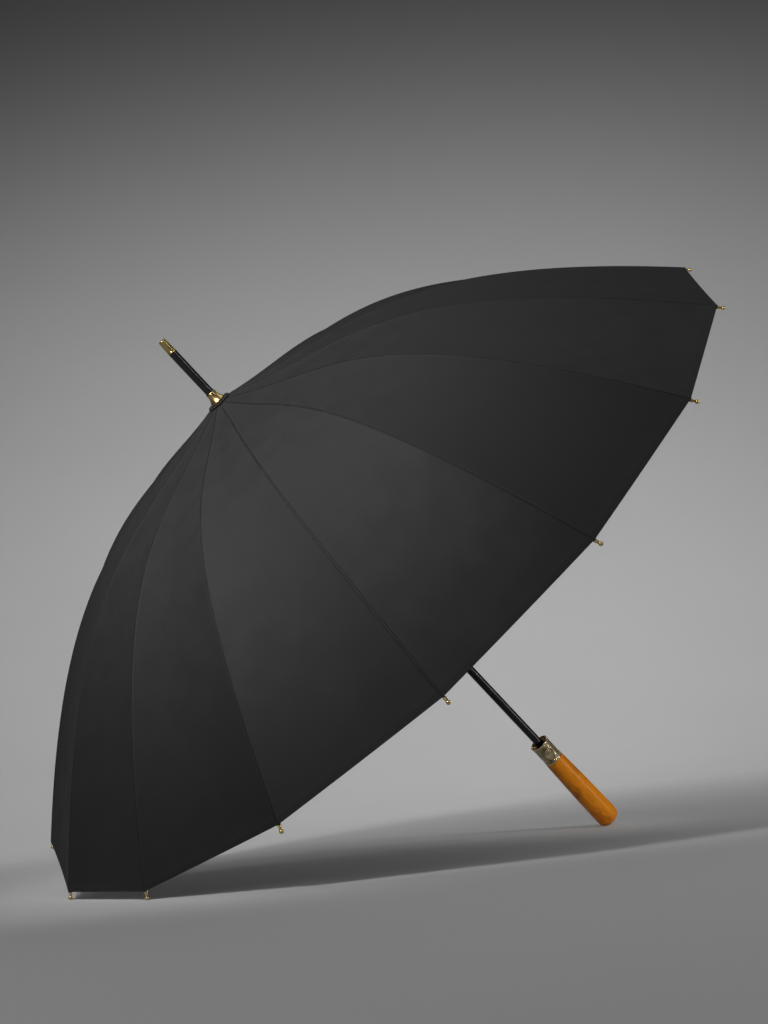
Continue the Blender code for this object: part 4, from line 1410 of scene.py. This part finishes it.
class UMBRELLA_OT_stage(bpy.types.Operator):
    """Lay the studio paper, hang the soft lights and stand the camera"""

    bl_idname = "umbrella.stage"
    bl_label = "Stage"

    def execute(self, context):
        scene = context.scene
        eye = Vector((-1.10624, -1.71556, 0.10067))
        right = Vector((0.837713, -0.534212, -0.113380))
        up = Vector((0.008989, -0.194097, 0.980941))
        back = Vector((-0.546037, -0.822766, -0.157795))
        data = bpy.data.cameras.new("view")
        data.lens = 57.34
        data.sensor_width = 36
        data.clip_start, data.clip_end = 0.02, 60
        camera = bpy.data.objects.new("view", data)
        scene.collection.objects.link(camera)
        camera.matrix_world = Matrix.Translation(eye) @ Matrix((right, up, back)).transposed().to_4x4()
        scene.camera = camera

        look = Vector((-back.x, -back.y, 0)).normalized()
        side = Vector((look.y, -look.x, 0))
        bm = bmesh.new()
        rows = []
        bend, wall, height = 1.6, 4.2, 6.0
        profile = [(-14.0, 0.0), (0.0, 0.0), (wall - bend, 0.0)]
        for i in range(1, 25):
            turn = i / 24 * math.pi / 2
            profile.append((wall - bend + bend * math.sin(turn), bend * (1 - math.cos(turn))))
        profile.append((wall, height))
        for far, rise in profile:
            row = []
            for i in range(13):
                place = look * far + side * (i / 12 - 0.5) * 28 + Vector((0, 0, rise))
                row.append(bm.verts.new(place))
            rows.append(row)
        for first, second in zip(rows, rows[1:]):
            for i in range(12):
                bm.faces.new((first[i], first[i + 1], second[i + 1], second[i]))
        bmesh.ops.recalc_face_normals(bm, faces=bm.faces)
        mesh = bpy.data.meshes.new("studio_sweep")
        bm.to_mesh(mesh)
        bm.free()
        mesh.shade_smooth()
        mesh.materials.append(floor_material())
        sweep_obj = bpy.data.objects.new("studio_sweep", mesh)
        scene.collection.objects.link(sweep_obj)

        crown = LIE @ Vector((0, 0, CANOPY_RISE))
        lit = crown + Vector((-0.05, -0.06, -0.05))
        spot_light("key", crown + Vector((-0.86, -0.48, 0.40)), lit, 62, 0.22, 100)
        area_light("side", crown + Vector((-1.7, -0.7, 0.2)), crown, (1.0, 1.0), 4)
        area_light("top", (0.7, -0.6, 3.3), (0.2, -0.1, 0.0), (2.6, 2.6), 17)
        along = (LIE.to_3x3() @ Vector((0, 0, 1))).normalized()
        middle = LIE @ Vector((0, 0, -0.1))
        to_eye = (eye - middle).normalized()
        facing = (to_eye - along * to_eye.dot(along)).normalized()
        beside = along.cross(facing)
        if beside.dot(right) < 0:
            beside = -beside
        turn = math.radians(58)
        toward = facing * math.cos(turn) + beside * math.sin(turn)
        toward = (toward * 0.963 - along * to_eye.dot(along)).normalized()
        strip = area_light("strip", middle + toward * 2.1, middle, (0.07, 2.2), 10)
        cross = along.cross(toward).normalized()
        strip.matrix_world = Matrix.Translation(middle + toward * 2.1) @ Matrix(
            (cross, toward.cross(cross).normalized(), toward)
        ).transposed().to_4x4()
        wall_foot = look * wall + Vector((0, 0, 0.7))
        grip = LIE @ Vector((0, 0, (GRIP_TOP + GRIP_END) / 2))
        beyond = (eye - grip).normalized() * 1.25 + right * 0.60 + Vector((0, 0, 0.55))
        spot_light("grip", grip + beyond, grip, 15, 0.10, 24)
        area_light("backdrop", look * 1.9 + Vector((0, 0, 2.7)), wall_foot, (4.0, 0.8), 46)
        world = bpy.data.worlds.new("studio air")
        world.use_nodes = True
        world.node_tree.nodes["Background"].inputs[0].default_value = (1, 1, 1, 1)
        world.node_tree.nodes["Background"].inputs[1].default_value = 0.07
        scene.world = world
        scene.view_settings.view_transform = "Standard"
        return {"FINISHED"}


# ---------------------------------------------------------------- add-on


OPERATORS = (
    UMBRELLA_OT_stage,
    UMBRELLA_OT_shaft,
    UMBRELLA_OT_crown,
    UMBRELLA_OT_ribs,
    UMBRELLA_OT_canopy,
    UMBRELLA_OT_stretchers,
    UMBRELLA_OT_runner,
    UMBRELLA_OT_collar,
    UMBRELLA_OT_grip,
)


class UMBRELLA_PT_panel(bpy.types.Panel):
    """Lists the umbrella's settings and the steps that build it"""

    bl_idname = "UMBRELLA_PT_panel"
    bl_label = "Stick umbrella"
    bl_space_type = "VIEW_3D"
    bl_region_type = "UI"
    bl_category = "Umbrella"

    def draw(self, context):
        layout = self.layout
        for group in (context.scene.umbrella_sizes, context.scene.umbrella_finishes):
            box = layout.box()
            for key in group.__annotations__:
                box.prop(group, key)
        for operator in OPERATORS:
            layout.operator(operator.bl_idname)


CLASSES = (UmbrellaSizes, UmbrellaFinishes, *OPERATORS, UMBRELLA_PT_panel)


def register():
    for cls in CLASSES:
        bpy.utils.register_class(cls)
    bpy.types.Scene.umbrella_sizes = PointerProperty(type=UmbrellaSizes)
    bpy.types.Scene.umbrella_finishes = PointerProperty(type=UmbrellaFinishes)


def unregister():
    del bpy.types.Scene.umbrella_finishes
    del bpy.types.Scene.umbrella_sizes
    for cls in reversed(CLASSES):
        bpy.utils.unregister_class(cls)


def main():
    register()
    for operator in OPERATORS:
        space, name = operator.bl_idname.split(".")
        getattr(getattr(bpy.ops, space), name)()
    bpy.context.view_layer.update()


if __name__ == "__main__":
    main()
